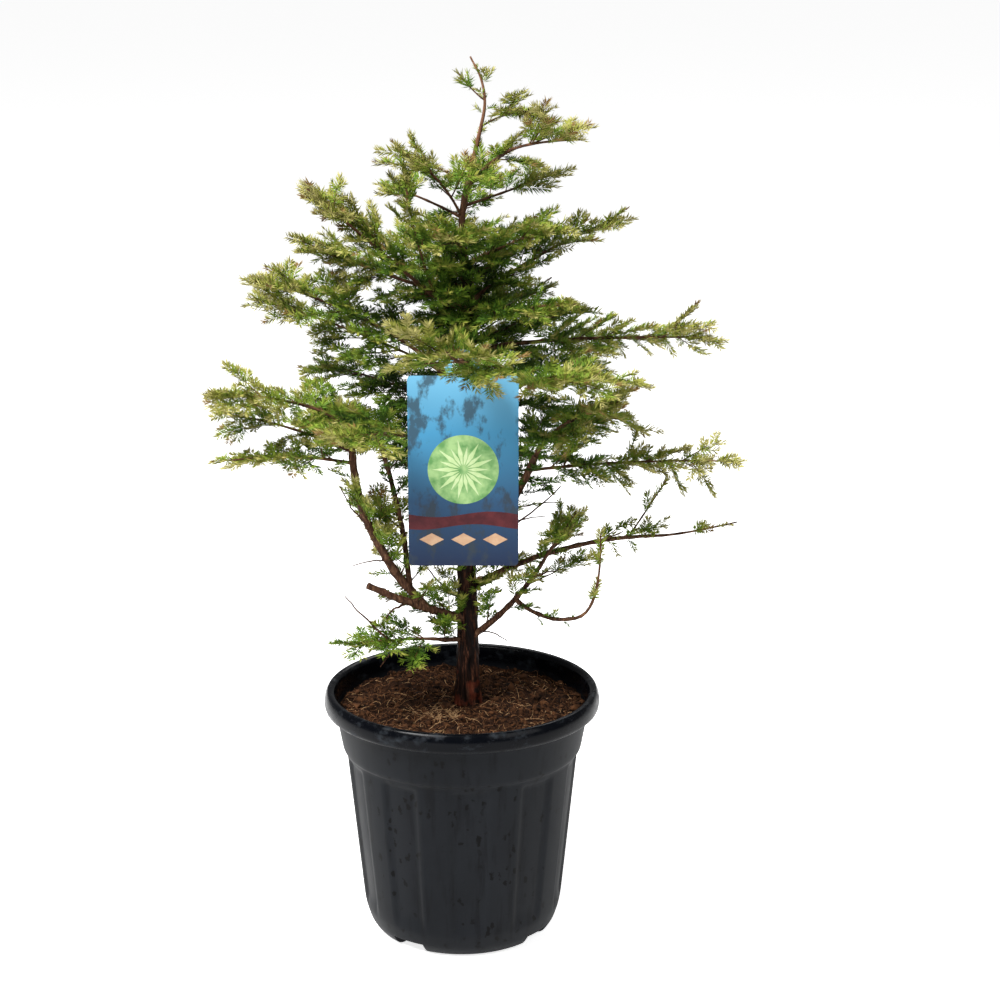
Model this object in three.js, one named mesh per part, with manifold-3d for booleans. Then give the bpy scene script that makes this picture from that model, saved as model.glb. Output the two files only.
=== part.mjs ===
// A young dawn redwood in a black nursery container, with a plain picture label hung on a front bough.
// Millimetres, +Z up, +X to the viewer's right, -Y towards the viewer.
// The origin is under the middle of the pot, on the surface that it stands on.
import * as THREE from "three";
import { mergeVertices } from "three/addons/utils/BufferGeometryUtils.js";
import Module from "manifold-3d";

const wasm = await Module();
wasm.setup();

// Driving dimensions of the container
const POT_HEIGHT = 375;
const RIM_RADIUS = 203;
const RIM_WIDTH = 16;
const RIM_DEPTH = 29;
const COLLAR_DEPTH = 60;
const SHOULDER_RADIUS = 171;
const CORNER_RADIUS = 146;
const CORNER_HEIGHT = 40;
const FOOT_RADIUS = 118;
const FOOT_WIDTH = 10;
const FLOOR_HEIGHT = 22;
const WALL = 3;
const POT_SIDES = 40;
const FLUTES = 10;
const FLUTE_DEPTH = 4;
const NOTCHES = 4;
const NOTCH_WIDTH = 52;
const NOTCH_HEIGHT = 19;
const NOTCH_TURN = THREE.MathUtils.degToRad(-35);
const FOOT_BAR_WIDTH = 12;

// Driving dimensions of the soil and the tree
const SOIL_HEIGHT = 349;
const SOIL_MOUND = 4;
const TREE_TOP = 1292;
const TRUNK_RADIUS = 17;
const TRUNK_TIP_RADIUS = 1.2;
const TRUNK_TAPER = 1.1;
const ROOT_FLARE = 4;
const FLARE_HEIGHT = 26;
const GAP = 0.3;

// Driving dimensions of the label
const LABEL_WIDTH = 152;
const LABEL_HEIGHT = 270;
const LABEL_THICKNESS = 1.2;
const LABEL_CORNER = 6;
const LABEL_DEPTH = -150;
const TAB_RADIUS = 24;
const TAB_HOLE_RADIUS = 15;
const TAB_RISE = 12;

// Driving dimensions of the foliage rule
const TWIG_SPACING = 80;
const STEM_RADIUS = 3;
const STEM_TIP_RADIUS = 1.4;
const HANDLE_SHARE = 0.3;
const FORK_ANGLE = THREE.MathUtils.degToRad(56);
const FORK_CLOSING = 0.3;
const SPAN_TAPER = 0.5;
const TOP_SHARE = 0.6;
const RISE_SPREAD = 55;
const ROLL = THREE.MathUtils.degToRad(55);
const SPRAY_WIDTH_SHARE = 0.7;
const SPRAY_THICKNESS_SHARE = 0.03;
const SIZE_TRIES = [1, 0.85, 0.7, 0.56, 0.44];
const TURN_TRIES = 4;
const LIMB_CLEARANCE = 2.5;
const LABEL_CLEARANCE = 9;
const SPACE_MARGIN = 3;
const CROSSING_VOLUME = 3;
const RIM_CLEARANCE = 5;

// The trunk's bends: height, then the offset to the right and to the back
const TRUNK_BENDS = [
  [SOIL_HEIGHT, 9, 0],
  [600, 8, 3],
  [800, 8, 1],
  [930, 14, 0],
  [1071, 3, -2],
  [1163, 22, 0],
  [1230, 35, 2],
  [1264, 29, 3],
  [TREE_TOP, 15, 3],
];

// A limb leaves its parent at a height on the trunk, or at a share of a bough's length, and ends at tip.
// bow is how far its middle stands off the straight line between the two.
// radii are those at its root and at its end.
const BOUGHS = [
  { name: "bough_low_left_stub", on: "trunk", at: 478, tip: [-132, -75, 554],
    bow: [4, -4, -4], radii: [7, 4.5] },
  { name: "bough_left_rising", on: "bough_low_left_stub", at: 0.42, tip: [-152, -70, 761],
    bow: [-26, -6, -4], radii: [6.6, 5] },
  { name: "bough_left_slim", on: "bough_left_rising", at: 0.14, tip: [-115, 10, 736],
    bow: [6, 4, 0], radii: [4.2, 3.2] },
  { name: "bough_low_left", on: "trunk", at: 450, tip: [-32, -24, 456],
    bow: [0, -2, -1], radii: [4, 3.2] },
  { name: "bough_low_right", on: "trunk", at: 448, tip: [121, -46, 587],
    bow: [6, -4, -7], radii: [5.2, 2.6] },
  { name: "bough_low_right_arm", on: "bough_low_right", at: 0.56, tip: [164, -71, 504],
    bow: [-2, -2, -11], radii: [3.2, 2.6] },
  { name: "bough_right_low", on: "trunk", at: 525, tip: [285, 51, 591],
    bow: [-4, 2, 18], radii: [5, 2.4] },
  { name: "bough_right_rising", on: "trunk", at: 580, tip: [106, -50, 738],
    bow: [8, -6, -4], radii: [7, 4.6] },
  { name: "bough_left_mid", on: "trunk", at: 832, tip: [-52, 12, 868],
    bow: [-2, 0, -3], radii: [5, 4] },
  { name: "bough_front_left", on: "trunk", at: 742, tip: [-50, -64, 768],
    bow: [-2, 2, -2], radii: [5, 4] },
  { name: "bough_front", on: "trunk", at: 868, tip: [4, -186, 905],
    bow: [0, 0, 3], radii: [5.2, 4] },
  { name: "bough_right_long", on: "trunk", at: 874, tip: [82, -17, 894],
    bow: [0, -1, 2], radii: [5, 4] },
  { name: "bough_left_high", on: "trunk", at: 938, tip: [-54, -36, 980],
    bow: [-2, -2, -4], radii: [5, 3.8] },
  { name: "bough_upper_right", on: "trunk", at: 1112, tip: [62, -27, 1163],
    bow: [-2, 0, 2], radii: [3.2, 2.4] },
];

// A mass of foliage grows on one stem, from a bough's tip or from the trunk to its own tip.
// On a tip it carries on in the bough's direction; from a limb's side, bow is as for a bough.
// bare is the share of the stem with no twigs, span the longest twig, rise how steeply the twigs climb.
const MASSES = [
  { name: "foliage_leader", on: "trunk", at: 1232, tip: [-4, 10, 1272],
    bow: [0, 0, -3], bare: 0.3, span: 45, rise: 10 },
  { name: "foliage_crest_right", on: "trunk", at: 1196, tip: [120, -30, 1220],
    bow: [-4, 0, 8], bare: 0.2, span: 76, rise: 14 },
  { name: "foliage_upper_right_front", on: "bough_upper_right", tip: [170, -60, 1186],
    bare: 0.1, span: 126, rise: 38 },
  { name: "foliage_upper_right_back", on: "trunk", at: 1086, tip: [152, 80, 1128],
    bow: [0, 4, -2], bare: 0.12, span: 84, rise: 12 },
  { name: "foliage_upper_left_front", on: "trunk", at: 1070, tip: [-84, -60, 1174],
    bow: [8, 0, 8], bare: 0.12, span: 95, rise: 16 },
  { name: "foliage_upper_left_back", on: "trunk", at: 1070, tip: [-118, 86, 1106],
    bow: [0, 0, 4], bare: 0.12, span: 96, rise: 14 },
  { name: "foliage_upper_back", on: "trunk", at: 1066, tip: [22, 124, 1130],
    bow: [0, 6, -4], bare: 0.12, span: 90, rise: 10 },
  { name: "foliage_upper_front", on: "trunk", at: 1022, tip: [-14, -136, 1068],
    bow: [0, -4, 4], bare: 0.12, span: 110, rise: 12 },
  { name: "foliage_left_high", on: "bough_left_high", tip: [-213, -100, 1132],
    bare: 0.05, span: 116, rise: 12 },
  { name: "foliage_left_erect", on: "bough_left_high", at: 0.7, tip: [-76, -30, 1140],
    bow: [-6, 0, 0], bare: 0.25, span: 88, rise: 10 },
  { name: "foliage_right_high", on: "trunk", at: 950, tip: [230, 70, 1058],
    bow: [0, 0, 12], bare: 0.12, span: 120, rise: 30 },
  { name: "foliage_right_high_front", on: "trunk", at: 1004, tip: [150, -24, 1064],
    bow: [0, 0, 4], bare: 0.12, span: 110, rise: 16 },
  { name: "foliage_left_high_back", on: "trunk", at: 952, tip: [-238, 50, 1034],
    bow: [0, 4, -6], bare: 0.12, span: 125, rise: 8 },
  { name: "foliage_right_inner", on: "trunk", at: 892, tip: [186, 78, 924],
    bow: [0, 4, 4], bare: 0.12, span: 105, rise: 4 },
  { name: "foliage_back_high", on: "trunk", at: 972, tip: [-46, 200, 1046],
    bow: [0, 8, -8], bare: 0.12, span: 120, rise: 10 },
  { name: "foliage_right_mid_front", on: "trunk", at: 918, tip: [166, -130, 972],
    bow: [0, 0, 8], bare: 0.12, span: 108, rise: 10 },
  { name: "foliage_back_right_high", on: "trunk", at: 914, tip: [138, 160, 960],
    bow: [0, 4, -4], bare: 0.12, span: 105, rise: 6 },
  { name: "foliage_left_mid", on: "bough_left_mid", tip: [-310, 34, 986],
    bare: 0.05, span: 126, rise: 14 },
  { name: "foliage_left_mid_back", on: "trunk", at: 786, tip: [-226, 150, 832],
    bow: [0, 0, 8], bare: 0.15, span: 125, rise: 6 },
  { name: "foliage_right_long", on: "bough_right_long", tip: [361, -80, 916],
    bare: 0.05, span: 98, rise: 8 },
  { name: "foliage_front", on: "bough_front", tip: [-14, -318, 948],
    bare: 0.1, span: 141, rise: 14 },
  { name: "foliage_front_right", on: "trunk", at: 838, tip: [168, -226, 884],
    bow: [8, -6, 6], bare: 0.3, span: 134, rise: 8 },
  { name: "foliage_front_left", on: "bough_front_left", tip: [-164, -236, 812],
    bare: 0.05, span: 134, rise: 10 },
  { name: "foliage_back_mid", on: "trunk", at: 832, tip: [34, 304, 926],
    bow: [0, 6, 0], bare: 0.15, span: 154, rise: 15 },
  { name: "foliage_left_mid_lower", on: "bough_left_mid", at: 0.7, tip: [-310, 112, 935],
    bow: [0, 6, 6], bare: 0.1, span: 119, rise: 8 },
  { name: "foliage_back_right", on: "trunk", at: 776, tip: [212, 214, 846],
    bow: [0, 8, 4], bare: 0.12, span: 149, rise: 15 },
  { name: "foliage_left_low", on: "bough_left_rising", tip: [-363, -100, 842],
    bare: 0.05, span: 132, rise: 4 },
  { name: "foliage_left_low_back", on: "bough_left_rising", at: 0.96, tip: [-358, -28, 797],
    bow: [0, 0, 10], bare: 0.15, span: 118, rise: 2 },
  { name: "foliage_left_low_hanging", on: "bough_left_rising", at: 0.9, tip: [-323, -138, 754],
    bow: [0, 0, 8], bare: 0.2, span: 114, rise: 6 },
  { name: "foliage_left_inner", on: "bough_left_slim", tip: [-214, 44, 778],
    bare: 0.05, span: 125, rise: 12 },
  { name: "foliage_left_sparse", on: "bough_left_slim", at: 0.42, tip: [-164, 30, 668],
    bow: [0, 0, 0], bare: 0.2, span: 65, rise: 10 },
  { name: "foliage_left_back_low", on: "trunk", at: 640, tip: [-226, 196, 752],
    bow: [0, 0, 10], bare: 0.3, span: 134, rise: 8 },
  { name: "foliage_right_lower_front", on: "bough_right_rising", tip: [224, -162, 846],
    bare: 0.05, span: 140, rise: 10 },
  { name: "foliage_right_mid", on: "bough_right_rising", at: 0.88, tip: [390, -104, 745],
    bow: [0, 6, 4], bare: 0.12, span: 86, rise: 4 },
  { name: "foliage_right_back_low", on: "trunk", at: 690, tip: [234, 176, 752],
    bow: [0, 6, 6], bare: 0.12, span: 146, rise: 8 },
  { name: "foliage_back_low", on: "trunk", at: 618, tip: [-62, 268, 742],
    bow: [0, 6, 0], bare: 0.25, span: 149, rise: 8 },
  { name: "foliage_low_left", on: "bough_low_left", tip: [-152, -84, 470],
    bare: 0.05, span: 96, rise: 0 },
  { name: "foliage_low_right", on: "bough_low_right", tip: [168, -62, 664],
    bare: 0.02, span: 80, rise: 14 },
  { name: "foliage_low_right_arm", on: "bough_low_right_arm", tip: [198, -80, 640],
    bare: 0.15, span: 45, rise: 10 },
  { name: "foliage_right_low", on: "bough_right_low", tip: [412, 70, 608],
    bare: 0.2, span: 56, rise: 20 },
  { name: "foliage_right_low_spray", on: "bough_right_low", at: 0.42, tip: [176, 10, 640],
    bow: [4, 0, -4], bare: 0.1, span: 80, rise: 10 },
  { name: "foliage_right_low_upright", on: "bough_right_low", at: 0.86, tip: [304, 60, 680],
    bow: [0, 0, 0], bare: 0.2, span: 52, rise: 10 },
];

const UP = new THREE.Vector3(0, 0, 1);
const BARK = new THREE.MeshStandardMaterial({ color: 0x4a2d20, roughness: 0.9 });
const NEEDLES = new THREE.MeshStandardMaterial({ color: 0x5d7a2a, roughness: 0.65 });
const POT_PLASTIC = new THREE.MeshStandardMaterial({ color: 0x26282a, roughness: 0.5 });
const SOIL = new THREE.MeshStandardMaterial({ color: 0x3a2316, roughness: 1 });
const CARD = new THREE.MeshStandardMaterial({ color: 0x4f87a8, roughness: 0.35 });

// A solid from a closed geometry, with its shared corners merged.
function solidOf(geometry, tolerance = 1e-4) {
  const bare = geometry.clone();
  bare.deleteAttribute("normal");
  bare.deleteAttribute("uv");
  const merged = mergeVertices(bare, tolerance);
  return new wasm.Manifold(
    new wasm.Mesh({
      numProp: 3,
      vertProperties: new Float32Array(merged.attributes.position.array),
      triVerts: new Uint32Array(merged.index.array),
    }),
  );
}

// The largest body of a solid: loose scraps that a cut leaves are dropped, and sealed hollows are filled.
function largestBody(solid) {
  const bodies = solid.decompose().sort((a, b) => b.volume() - a.volume());
  const mesh = bodies[0].getMesh();
  return new THREE.BufferGeometry()
    .setAttribute("position", new THREE.BufferAttribute(new Float32Array(mesh.vertProperties), 3))
    .setIndex(new THREE.BufferAttribute(new Uint32Array(mesh.triVerts), 1));
}

// A solid as one closed geometry whose corners stay apart at a thousandth of a millimetre.
function geometryOf(solid) {
  return largestBody(solidOf(largestBody(solid), 1e-3));
}

// The same numbers from 0 to 1 on every run.
function seededRandom(seed) {
  let state = seed;
  return () => {
    state = (state * 1664525 + 1013904223) % 4294967296;
    return state / 4294967296;
  };
}

// A closed tapering limb along a curve, with a flat cut at each end.
function limbGeometry(curve, radiusAt, sides, steps) {
  const frames = curve.computeFrenetFrames(steps);
  const positions = [];
  const corners = [];
  for (let i = 0; i <= steps; i++) {
    const centre = curve.getPointAt(i / steps);
    const radius = radiusAt(i / steps);
    for (let k = 0; k < sides; k++) {
      const turn = (k / sides) * 2 * Math.PI;
      const corner = centre
        .clone()
        .addScaledVector(frames.normals[i], radius * Math.cos(turn))
        .addScaledVector(frames.binormals[i], radius * Math.sin(turn));
      positions.push(corner.x, corner.y, corner.z);
    }
  }
  for (let i = 0; i < steps; i++) {
    for (let k = 0; k < sides; k++) {
      const a = i * sides + k;
      const b = i * sides + ((k + 1) % sides);
      corners.push(a, b, a + sides, b, b + sides, a + sides);
    }
  }
  const last = steps * sides;
  for (let k = 1; k < sides - 1; k++) {
    corners.push(0, k + 1, k, last, last + k, last + k + 1);
  }
  return new THREE.BufferGeometry()
    .setAttribute("position", new THREE.Float32BufferAttribute(positions, 3))
    .setIndex(corners);
}

// The point where a limb is left, and the share of its length there: at a height on the trunk, or at a
// share of a bough.
function leavingPoint(limb, at) {
  if (limb.name !== "trunk") return { point: limb.curve.getPointAt(at), share: at };
  let low = 0;
  let high = 1;
  for (let i = 0; i < 40; i++) {
    const middle = (low + high) / 2;
    if (limb.curve.getPointAt(middle).z < at) low = middle;
    else high = middle;
  }
  return { point: limb.curve.getPointAt(low), share: low };
}

// A curve from start to tip whose middle stands off the straight line by bow.
function bowedCurve(start, tip, bow) {
  const end = new THREE.Vector3(...tip);
  const control = start.clone().lerp(end, 0.5).addScaledVector(new THREE.Vector3(...bow), 2);
  return new THREE.QuadraticBezierCurve3(start, control, end);
}

// A curve that carries on from the end of another, a gap away, and turns to tip.
function continuedCurve(curve, tip) {
  const direction = curve.getTangentAt(1);
  const start = curve.getPointAt(1).addScaledVector(direction, GAP);
  const end = new THREE.Vector3(...tip);
  const control = start.clone().addScaledVector(direction, HANDLE_SHARE * start.distanceTo(end));
  return new THREE.QuadraticBezierCurve3(start, control, end);
}

// The part of a curve up to a share of its length.
function firstPart(curve, share) {
  const until = curve.getUtoTmapping(share);
  const control = curve.v0.clone().lerp(curve.v1, until);
  return new THREE.QuadraticBezierCurve3(curve.v0, control, curve.getPoint(until));
}

// The container

// The underside, wall, rim and inside of the pot in one closed outline, as radius and height.
function potProfile() {
  const collarFoot = POT_HEIGHT - RIM_DEPTH - COLLAR_DEPTH;
  const rimInside = RIM_RADIUS - RIM_WIDTH;
  const floorTop = FLOOR_HEIGHT + WALL;
  return [
    [0, FLOOR_HEIGHT],
    [FOOT_RADIUS - FOOT_WIDTH, FLOOR_HEIGHT],
    [FOOT_RADIUS - FOOT_WIDTH, 0],
    [FOOT_RADIUS, 0],
    [FOOT_RADIUS + 12, 5],
    [CORNER_RADIUS - 7, 18],
    [CORNER_RADIUS, CORNER_HEIGHT],
    [CORNER_RADIUS + 2, CORNER_HEIGHT + 14],
    [SHOULDER_RADIUS - 1, collarFoot - 14],
    [SHOULDER_RADIUS, collarFoot - 4],
    [SHOULDER_RADIUS + 5, collarFoot],
    [rimInside, POT_HEIGHT - RIM_DEPTH],
    [RIM_RADIUS - 1, POT_HEIGHT - RIM_DEPTH],
    [RIM_RADIUS, POT_HEIGHT - 12],
    [RIM_RADIUS - 4, POT_HEIGHT - 2],
    [RIM_RADIUS - 8, POT_HEIGHT],
    [rimInside, POT_HEIGHT - 3],
    [rimInside - WALL, POT_HEIGHT - RIM_DEPTH],
    [SHOULDER_RADIUS - WALL, collarFoot],
    [CORNER_RADIUS - WALL, CORNER_HEIGHT],
    [CORNER_RADIUS - 18, floorTop],
    [0, floorTop],
  ].map(([radius, height]) => new THREE.Vector2(radius, height));
}

// Presses the wide flutes into the wall between the rounded foot and the collar.
function pressFlutes(geometry) {
  const position = geometry.attributes.position;
  const collarFoot = POT_HEIGHT - RIM_DEPTH - COLLAR_DEPTH;
  const sidesPerFlute = POT_SIDES / FLUTES;
  for (let i = 0; i < position.count; i++) {
    const height = position.getY(i);
    const radius = Math.hypot(position.getX(i), position.getZ(i));
    const turn = Math.atan2(position.getX(i), position.getZ(i));
    const side = Math.round((turn / (2 * Math.PI)) * POT_SIDES + POT_SIDES) % sidesPerFlute;
    const onWall = height > CORNER_HEIGHT + 2 && height < collarFoot - 6 && radius > CORNER_RADIUS;
    if (onWall && side < 2) {
      const share = (radius - FLUTE_DEPTH) / radius;
      position.setX(i, position.getX(i) * share);
      position.setZ(i, position.getZ(i) * share);
    }
  }
  return geometry;
}

// A round shape turned from a profile, standing on the XY plane.
function turned(profile, press) {
  const geometry = new THREE.LatheGeometry(profile, POT_SIDES);
  if (press) press(geometry);
  return geometry.rotateX(Math.PI / 2);
}

function potGeometry() {
  let pot = solidOf(turned(potProfile(), pressFlutes));
  const barLength = 2 * (FOOT_RADIUS - FOOT_WIDTH / 2);
  for (let i = 0; i < NOTCHES; i++) {
    const turn = NOTCH_TURN + (i / NOTCHES) * 2 * Math.PI;
    const notch = new THREE.BoxGeometry(NOTCH_WIDTH, CORNER_RADIUS, 2 * NOTCH_HEIGHT);
    notch.translate(0, -CORNER_RADIUS, 0).rotateZ(turn);
    pot = pot.subtract(solidOf(notch));
  }
  for (let i = 0; i < NOTCHES / 2; i++) {
    const turn = NOTCH_TURN + ((i + 0.5) / NOTCHES) * 2 * Math.PI;
    const bar = new THREE.BoxGeometry(FOOT_BAR_WIDTH, barLength, FLOOR_HEIGHT + WALL / 2);
    bar.translate(0, 0, (FLOOR_HEIGHT + WALL / 2) / 2).rotateZ(turn);
    pot = pot.add(solidOf(bar));
  }
  return geometryOf(pot);
}

// The root ball fills the pot up to the foot of its rim, clear of the wall and its flutes.
// Its top rises a little to the trunk.
function soilGeometry() {
  const collarFoot = POT_HEIGHT - RIM_DEPTH - COLLAR_DEPTH;
  const inside = WALL + GAP + 0.2;
  const floorTop = FLOOR_HEIGHT + WALL + GAP;
  const mound = 3 * TRUNK_RADIUS;
  const profile = [
    [0, floorTop],
    [CORNER_RADIUS - 20, floorTop],
    [CORNER_RADIUS - inside - FLUTE_DEPTH, CORNER_HEIGHT + 2],
    [SHOULDER_RADIUS - inside - FLUTE_DEPTH, collarFoot - 8],
    [SHOULDER_RADIUS - inside, collarFoot + 4],
    [RIM_RADIUS - RIM_WIDTH - inside - 0.5, SOIL_HEIGHT - SOIL_MOUND],
    [mound, SOIL_HEIGHT - GAP],
    [0, SOIL_HEIGHT - GAP],
  ];
  return turned(profile.map(([radius, height]) => new THREE.Vector2(radius, height)));
}

// The trunk and boughs

function trunkRadius(share) {
  const height = share * (TREE_TOP - SOIL_HEIGHT);
  const taper = Math.pow(1 - share, TRUNK_TAPER);
  const flare = ROOT_FLARE * Math.exp(-height / FLARE_HEIGHT);
  return TRUNK_TIP_RADIUS + (TRUNK_RADIUS - TRUNK_TIP_RADIUS) * taper + flare;
}

function makeLimb(name, curve, radiusAt, sides, steps) {
  const solid = solidOf(limbGeometry(curve, radiusAt, sides, steps));
  const socket = solidOf(limbGeometry(curve, (share) => radiusAt(share) + GAP, sides, steps));
  return { name, curve, radiusAt, solid, socket, line: curve.getSpacedPoints(steps) };
}

function makeTrunk() {
  const points = TRUNK_BENDS.map(([height, right, back]) => new THREE.Vector3(right, back, height));
  return makeLimb("trunk", new THREE.CatmullRomCurve3(points), trunkRadius, 10, 20);
}

function makeBough(row, limbs) {
  const parent = limbs.get(row.on);
  const { point } = leavingPoint(parent, row.at);
  const [root, end] = row.radii;
  const curve = bowedCurve(point, row.tip, row.bow);
  const bough = makeLimb(row.name, curve, (share) => root + (end - root) * share, 5, 5);
  bough.solid = bough.solid.subtract(parent.socket);
  return bough;
}

// The foliage

// The edge of a twig's flat spray of needles: teeth that sweep forward, with a deep notch behind each.
// Its corners are shares of the spray's length and of its half width.
// The twig is a ridge along the top, between two shares of the length.
const SPRAY_RIDGE = [0.1, 0.48];
const SPRAY_EDGE = [
  [0.36, 0.9],
  [0.36, 0.43],
  [0.64, 1],
  [0.64, 0.4],
  [0.86, 0.6],
  [0.85, 0.22],
];

// A twig along +X with its spray, as one toothed blade with a flat underside.
// The first notch on each side is joined to both ends of the ridge.
function sprayGeometry(length) {
  const halfWidth = (length * SPRAY_WIDTH_SHARE) / 2;
  const right = SPRAY_EDGE.map(([along, out]) => new THREE.Vector2(along * length, -out * halfWidth));
  const left = right.map(({ x, y }) => new THREE.Vector2(x, -y)).reverse();
  const outline = [new THREE.Vector2(0, 0), ...right, new THREE.Vector2(length, 0), ...left];
  const ridge = SPRAY_RIDGE.map((along) => [along * length, 0, length * SPRAY_THICKNESS_SHARE]);
  const positions = [...outline.map(({ x, y }) => [x, y, 0]), ...ridge];
  const count = outline.length;
  const corners = [];
  for (let i = 0; i < count; i++) {
    const nearRoot = i < 2 || i >= count - 2;
    corners.push(i, (i + 1) % count, nearRoot ? count : count + 1);
  }
  corners.push(count, 2, count + 1, count + 1, count - 2, count);
  for (const [a, b, c] of THREE.ShapeUtils.triangulateShape(outline, [])) corners.push(c, b, a);
  return new THREE.BufferGeometry()
    .setAttribute("position", new THREE.Float32BufferAttribute(positions.flat(), 3))
    .setIndex(corners);
}

// The stem of a mass: from just past a bough's tip, or from the middle of the limb whose side it leaves.
function makeStem(row, limbs) {
  const parent = limbs.get(row.on);
  const atTip = row.at === undefined;
  const { point, share } = leavingPoint(parent, atTip ? 1 : row.at);
  const curve = atTip ? continuedCurve(parent.curve, row.tip) : bowedCurve(point, row.tip, row.bow);
  const radius = Math.min(STEM_RADIUS, parent.radiusAt(share) * (atTip ? 0.9 : 0.5));
  return { ...row, parent, atTip, curve, radius, line: curve.getSpacedPoints(10) };
}

// The distance from a point to a line of points, and the share of its length where it is nearest.
function distanceToLine(point, line) {
  const segment = new THREE.Line3();
  const nearest = new THREE.Vector3();
  let best = { distance: Infinity, share: 0 };
  for (let i = 0; i + 1 < line.length; i++) {
    segment.set(line[i], line[i + 1]);
    const along = segment.closestPointToPointParameter(point, true);
    const distance = segment.at(along, nearest).distanceTo(point);
    if (distance < best.distance) best = { distance, share: (i + along) / (line.length - 1) };
  }
  return best;
}

// Whether a point of a mass is nearer to its own stem than to any other, and clear of limbs and pot.
function inOwnSpace(point, stem, stems, limbs) {
  if (point.z < POT_HEIGHT + RIM_CLEARANCE) return false;
  const own = distanceToLine(point, stem.line).distance;
  for (const other of stems) {
    if (other !== stem && distanceToLine(point, other.line).distance < own + SPACE_MARGIN) return false;
  }
  for (const limb of limbs.values()) {
    const near = distanceToLine(point, limb.line);
    if (near.distance < limb.radiusAt(near.share) + LIMB_CLEARANCE) return false;
  }
  return true;
}

// Whether the straight way from a root to a point runs through the label or close by it.
function meetsLabel(root, point) {
  const way = new THREE.Ray(root, point.clone().sub(root).normalize());
  const hit = way.intersectBox(labelSpace, new THREE.Vector3());
  return hit !== null && hit.distanceTo(root) < point.distanceTo(root);
}

// A spray that leaves root in the given direction, lying flat across normal.
function placedSpray(root, direction, normal, length) {
  const side = new THREE.Vector3().crossVectors(normal, direction);
  return sprayGeometry(length).applyMatrix4(
    new THREE.Matrix4().makeBasis(direction, side, normal).setPosition(root),
  );
}

// The corners of a spray: first its root, which is sunk in the stem, then the others.
function cornersOf(geometry) {
  const position = geometry.attributes.position;
  const cornerAt = (_, i) => new THREE.Vector3().fromBufferAttribute(position, i);
  return Array.from({ length: position.count }, cornerAt);
}

// A twig's direction at a share of its stem, and the way that its flat side faces.
// turn sends it to the left (-1), to the right (1) or up on top of the stem (0).
function twigTurn(stem, share, turn, random) {
  const tangent = stem.curve.getTangentAt(share);
  const side = new THREE.Vector3().crossVectors(tangent, UP).normalize();
  const over = new THREE.Vector3().crossVectors(side, tangent);
  const fork = FORK_ANGLE * (1 - FORK_CLOSING * share);
  const rise = THREE.MathUtils.degToRad(stem.rise + RISE_SPREAD * (random() - 0.5));
  const out = side.clone().multiplyScalar(turn * Math.cos(rise));
  out.addScaledVector(over, turn ? Math.sin(rise) : 1);
  const direction = tangent.clone().multiplyScalar(Math.cos(fork));
  direction.addScaledVector(out, Math.sin(fork)).normalize();
  const flat = turn ? over : side;
  const normal = flat.clone().addScaledVector(direction, -flat.dot(direction)).normalize();
  return { direction, normal: normal.applyAxisAngle(direction, ROLL * (2 * random() - 1)) };
}

// The largest spray that fits at a share of a stem, out of a few turns and sizes, or nothing.
function fittingSpray(stem, share, turn, random, fits) {
  const root = stem.curve.getPointAt(share);
  const longest = stem.span * (1 - SPAN_TAPER * share) * (0.75 + 0.4 * random()) * (turn ? 1 : TOP_SHARE);
  const turns = Array.from({ length: TURN_TRIES }, () => twigTurn(stem, share, turn, random));
  for (const size of SIZE_TRIES) {
    for (const { direction, normal } of turns) {
      const spray = placedSpray(root, direction, normal, longest * size);
      if (fits(spray)) return spray;
    }
  }
  return null;
}

// The spray that ends a mass, reaching its tip, and the share of the stem where it starts.
function endSpray(stem, length) {
  const size = Math.min(0.7 * stem.span, 0.5 * length);
  const tip = stem.curve.getPointAt(1);
  const direction = stem.curve.getTangentAt(1 - (0.5 * size) / length);
  const root = tip.clone().addScaledVector(direction, -size);
  const normal = UP.clone().addScaledVector(direction, -UP.dot(direction)).normalize();
  return { spray: placedSpray(root, direction, normal, size), share: 1 - (0.6 * size) / length };
}

// A mass of foliage: side twigs along its stem, shorter towards the tip, and a spray that ends it.
function makeMass(stem, seed, stems, limbs) {
  const random = seededRandom(seed);
  const length = stem.curve.getLength();
  const end = endSpray(stem, length);
  const radiusAt = (share) => stem.radius + (STEM_TIP_RADIUS - stem.radius) * share;
  const stalk = solidOf(limbGeometry(firstPart(stem.curve, end.share), radiusAt, 3, 4));
  const sprays = [solidOf(end.spray)];
  const fits = (spray) => {
    const [root, ...corners] = cornersOf(spray);
    if (!corners.every((corner) => inOwnSpace(corner, stem, stems, limbs))) return false;
    if (corners.some((corner) => meetsLabel(root, corner))) return false;
    const solid = solidOf(spray);
    return sprays.every((other) => other.intersect(solid).volume() < CROSSING_VOLUME);
  };
  const places = Math.max(1, Math.round((length * (1 - stem.bare)) / TWIG_SPACING));
  for (let i = 0; i < places; i++) {
    const share = stem.bare + ((end.share - stem.bare) * (i + 0.4)) / places;
    for (const turn of i % 2 ? [-1, 1, 0] : [-1, 1]) {
      const spray = fittingSpray(stem, share, turn, random, fits);
      if (spray) sprays.push(solidOf(spray));
    }
  }
  let mass = sprays.reduce((whole, spray) => whole.add(spray), stalk);
  if (!stem.atTip) mass = mass.subtract(stem.parent.socket);
  return geometryOf(mass);
}

// The label: a plain card with a ring tab that hangs on the front bough

// Where the label hangs: its tab's hole rests on the top of the bough, at the label's depth.
function labelPlace(bough) {
  const line = bough.curve.getSpacedPoints(100);
  const index = line.findIndex((point) => point.y < LABEL_DEPTH);
  const carrier = line[index];
  const tabCentre = carrier.z + bough.radiusAt(index / 100) + 2 * GAP - TAB_HOLE_RADIUS;
  return { right: carrier.x, top: tabCentre - TAB_RISE };
}

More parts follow.
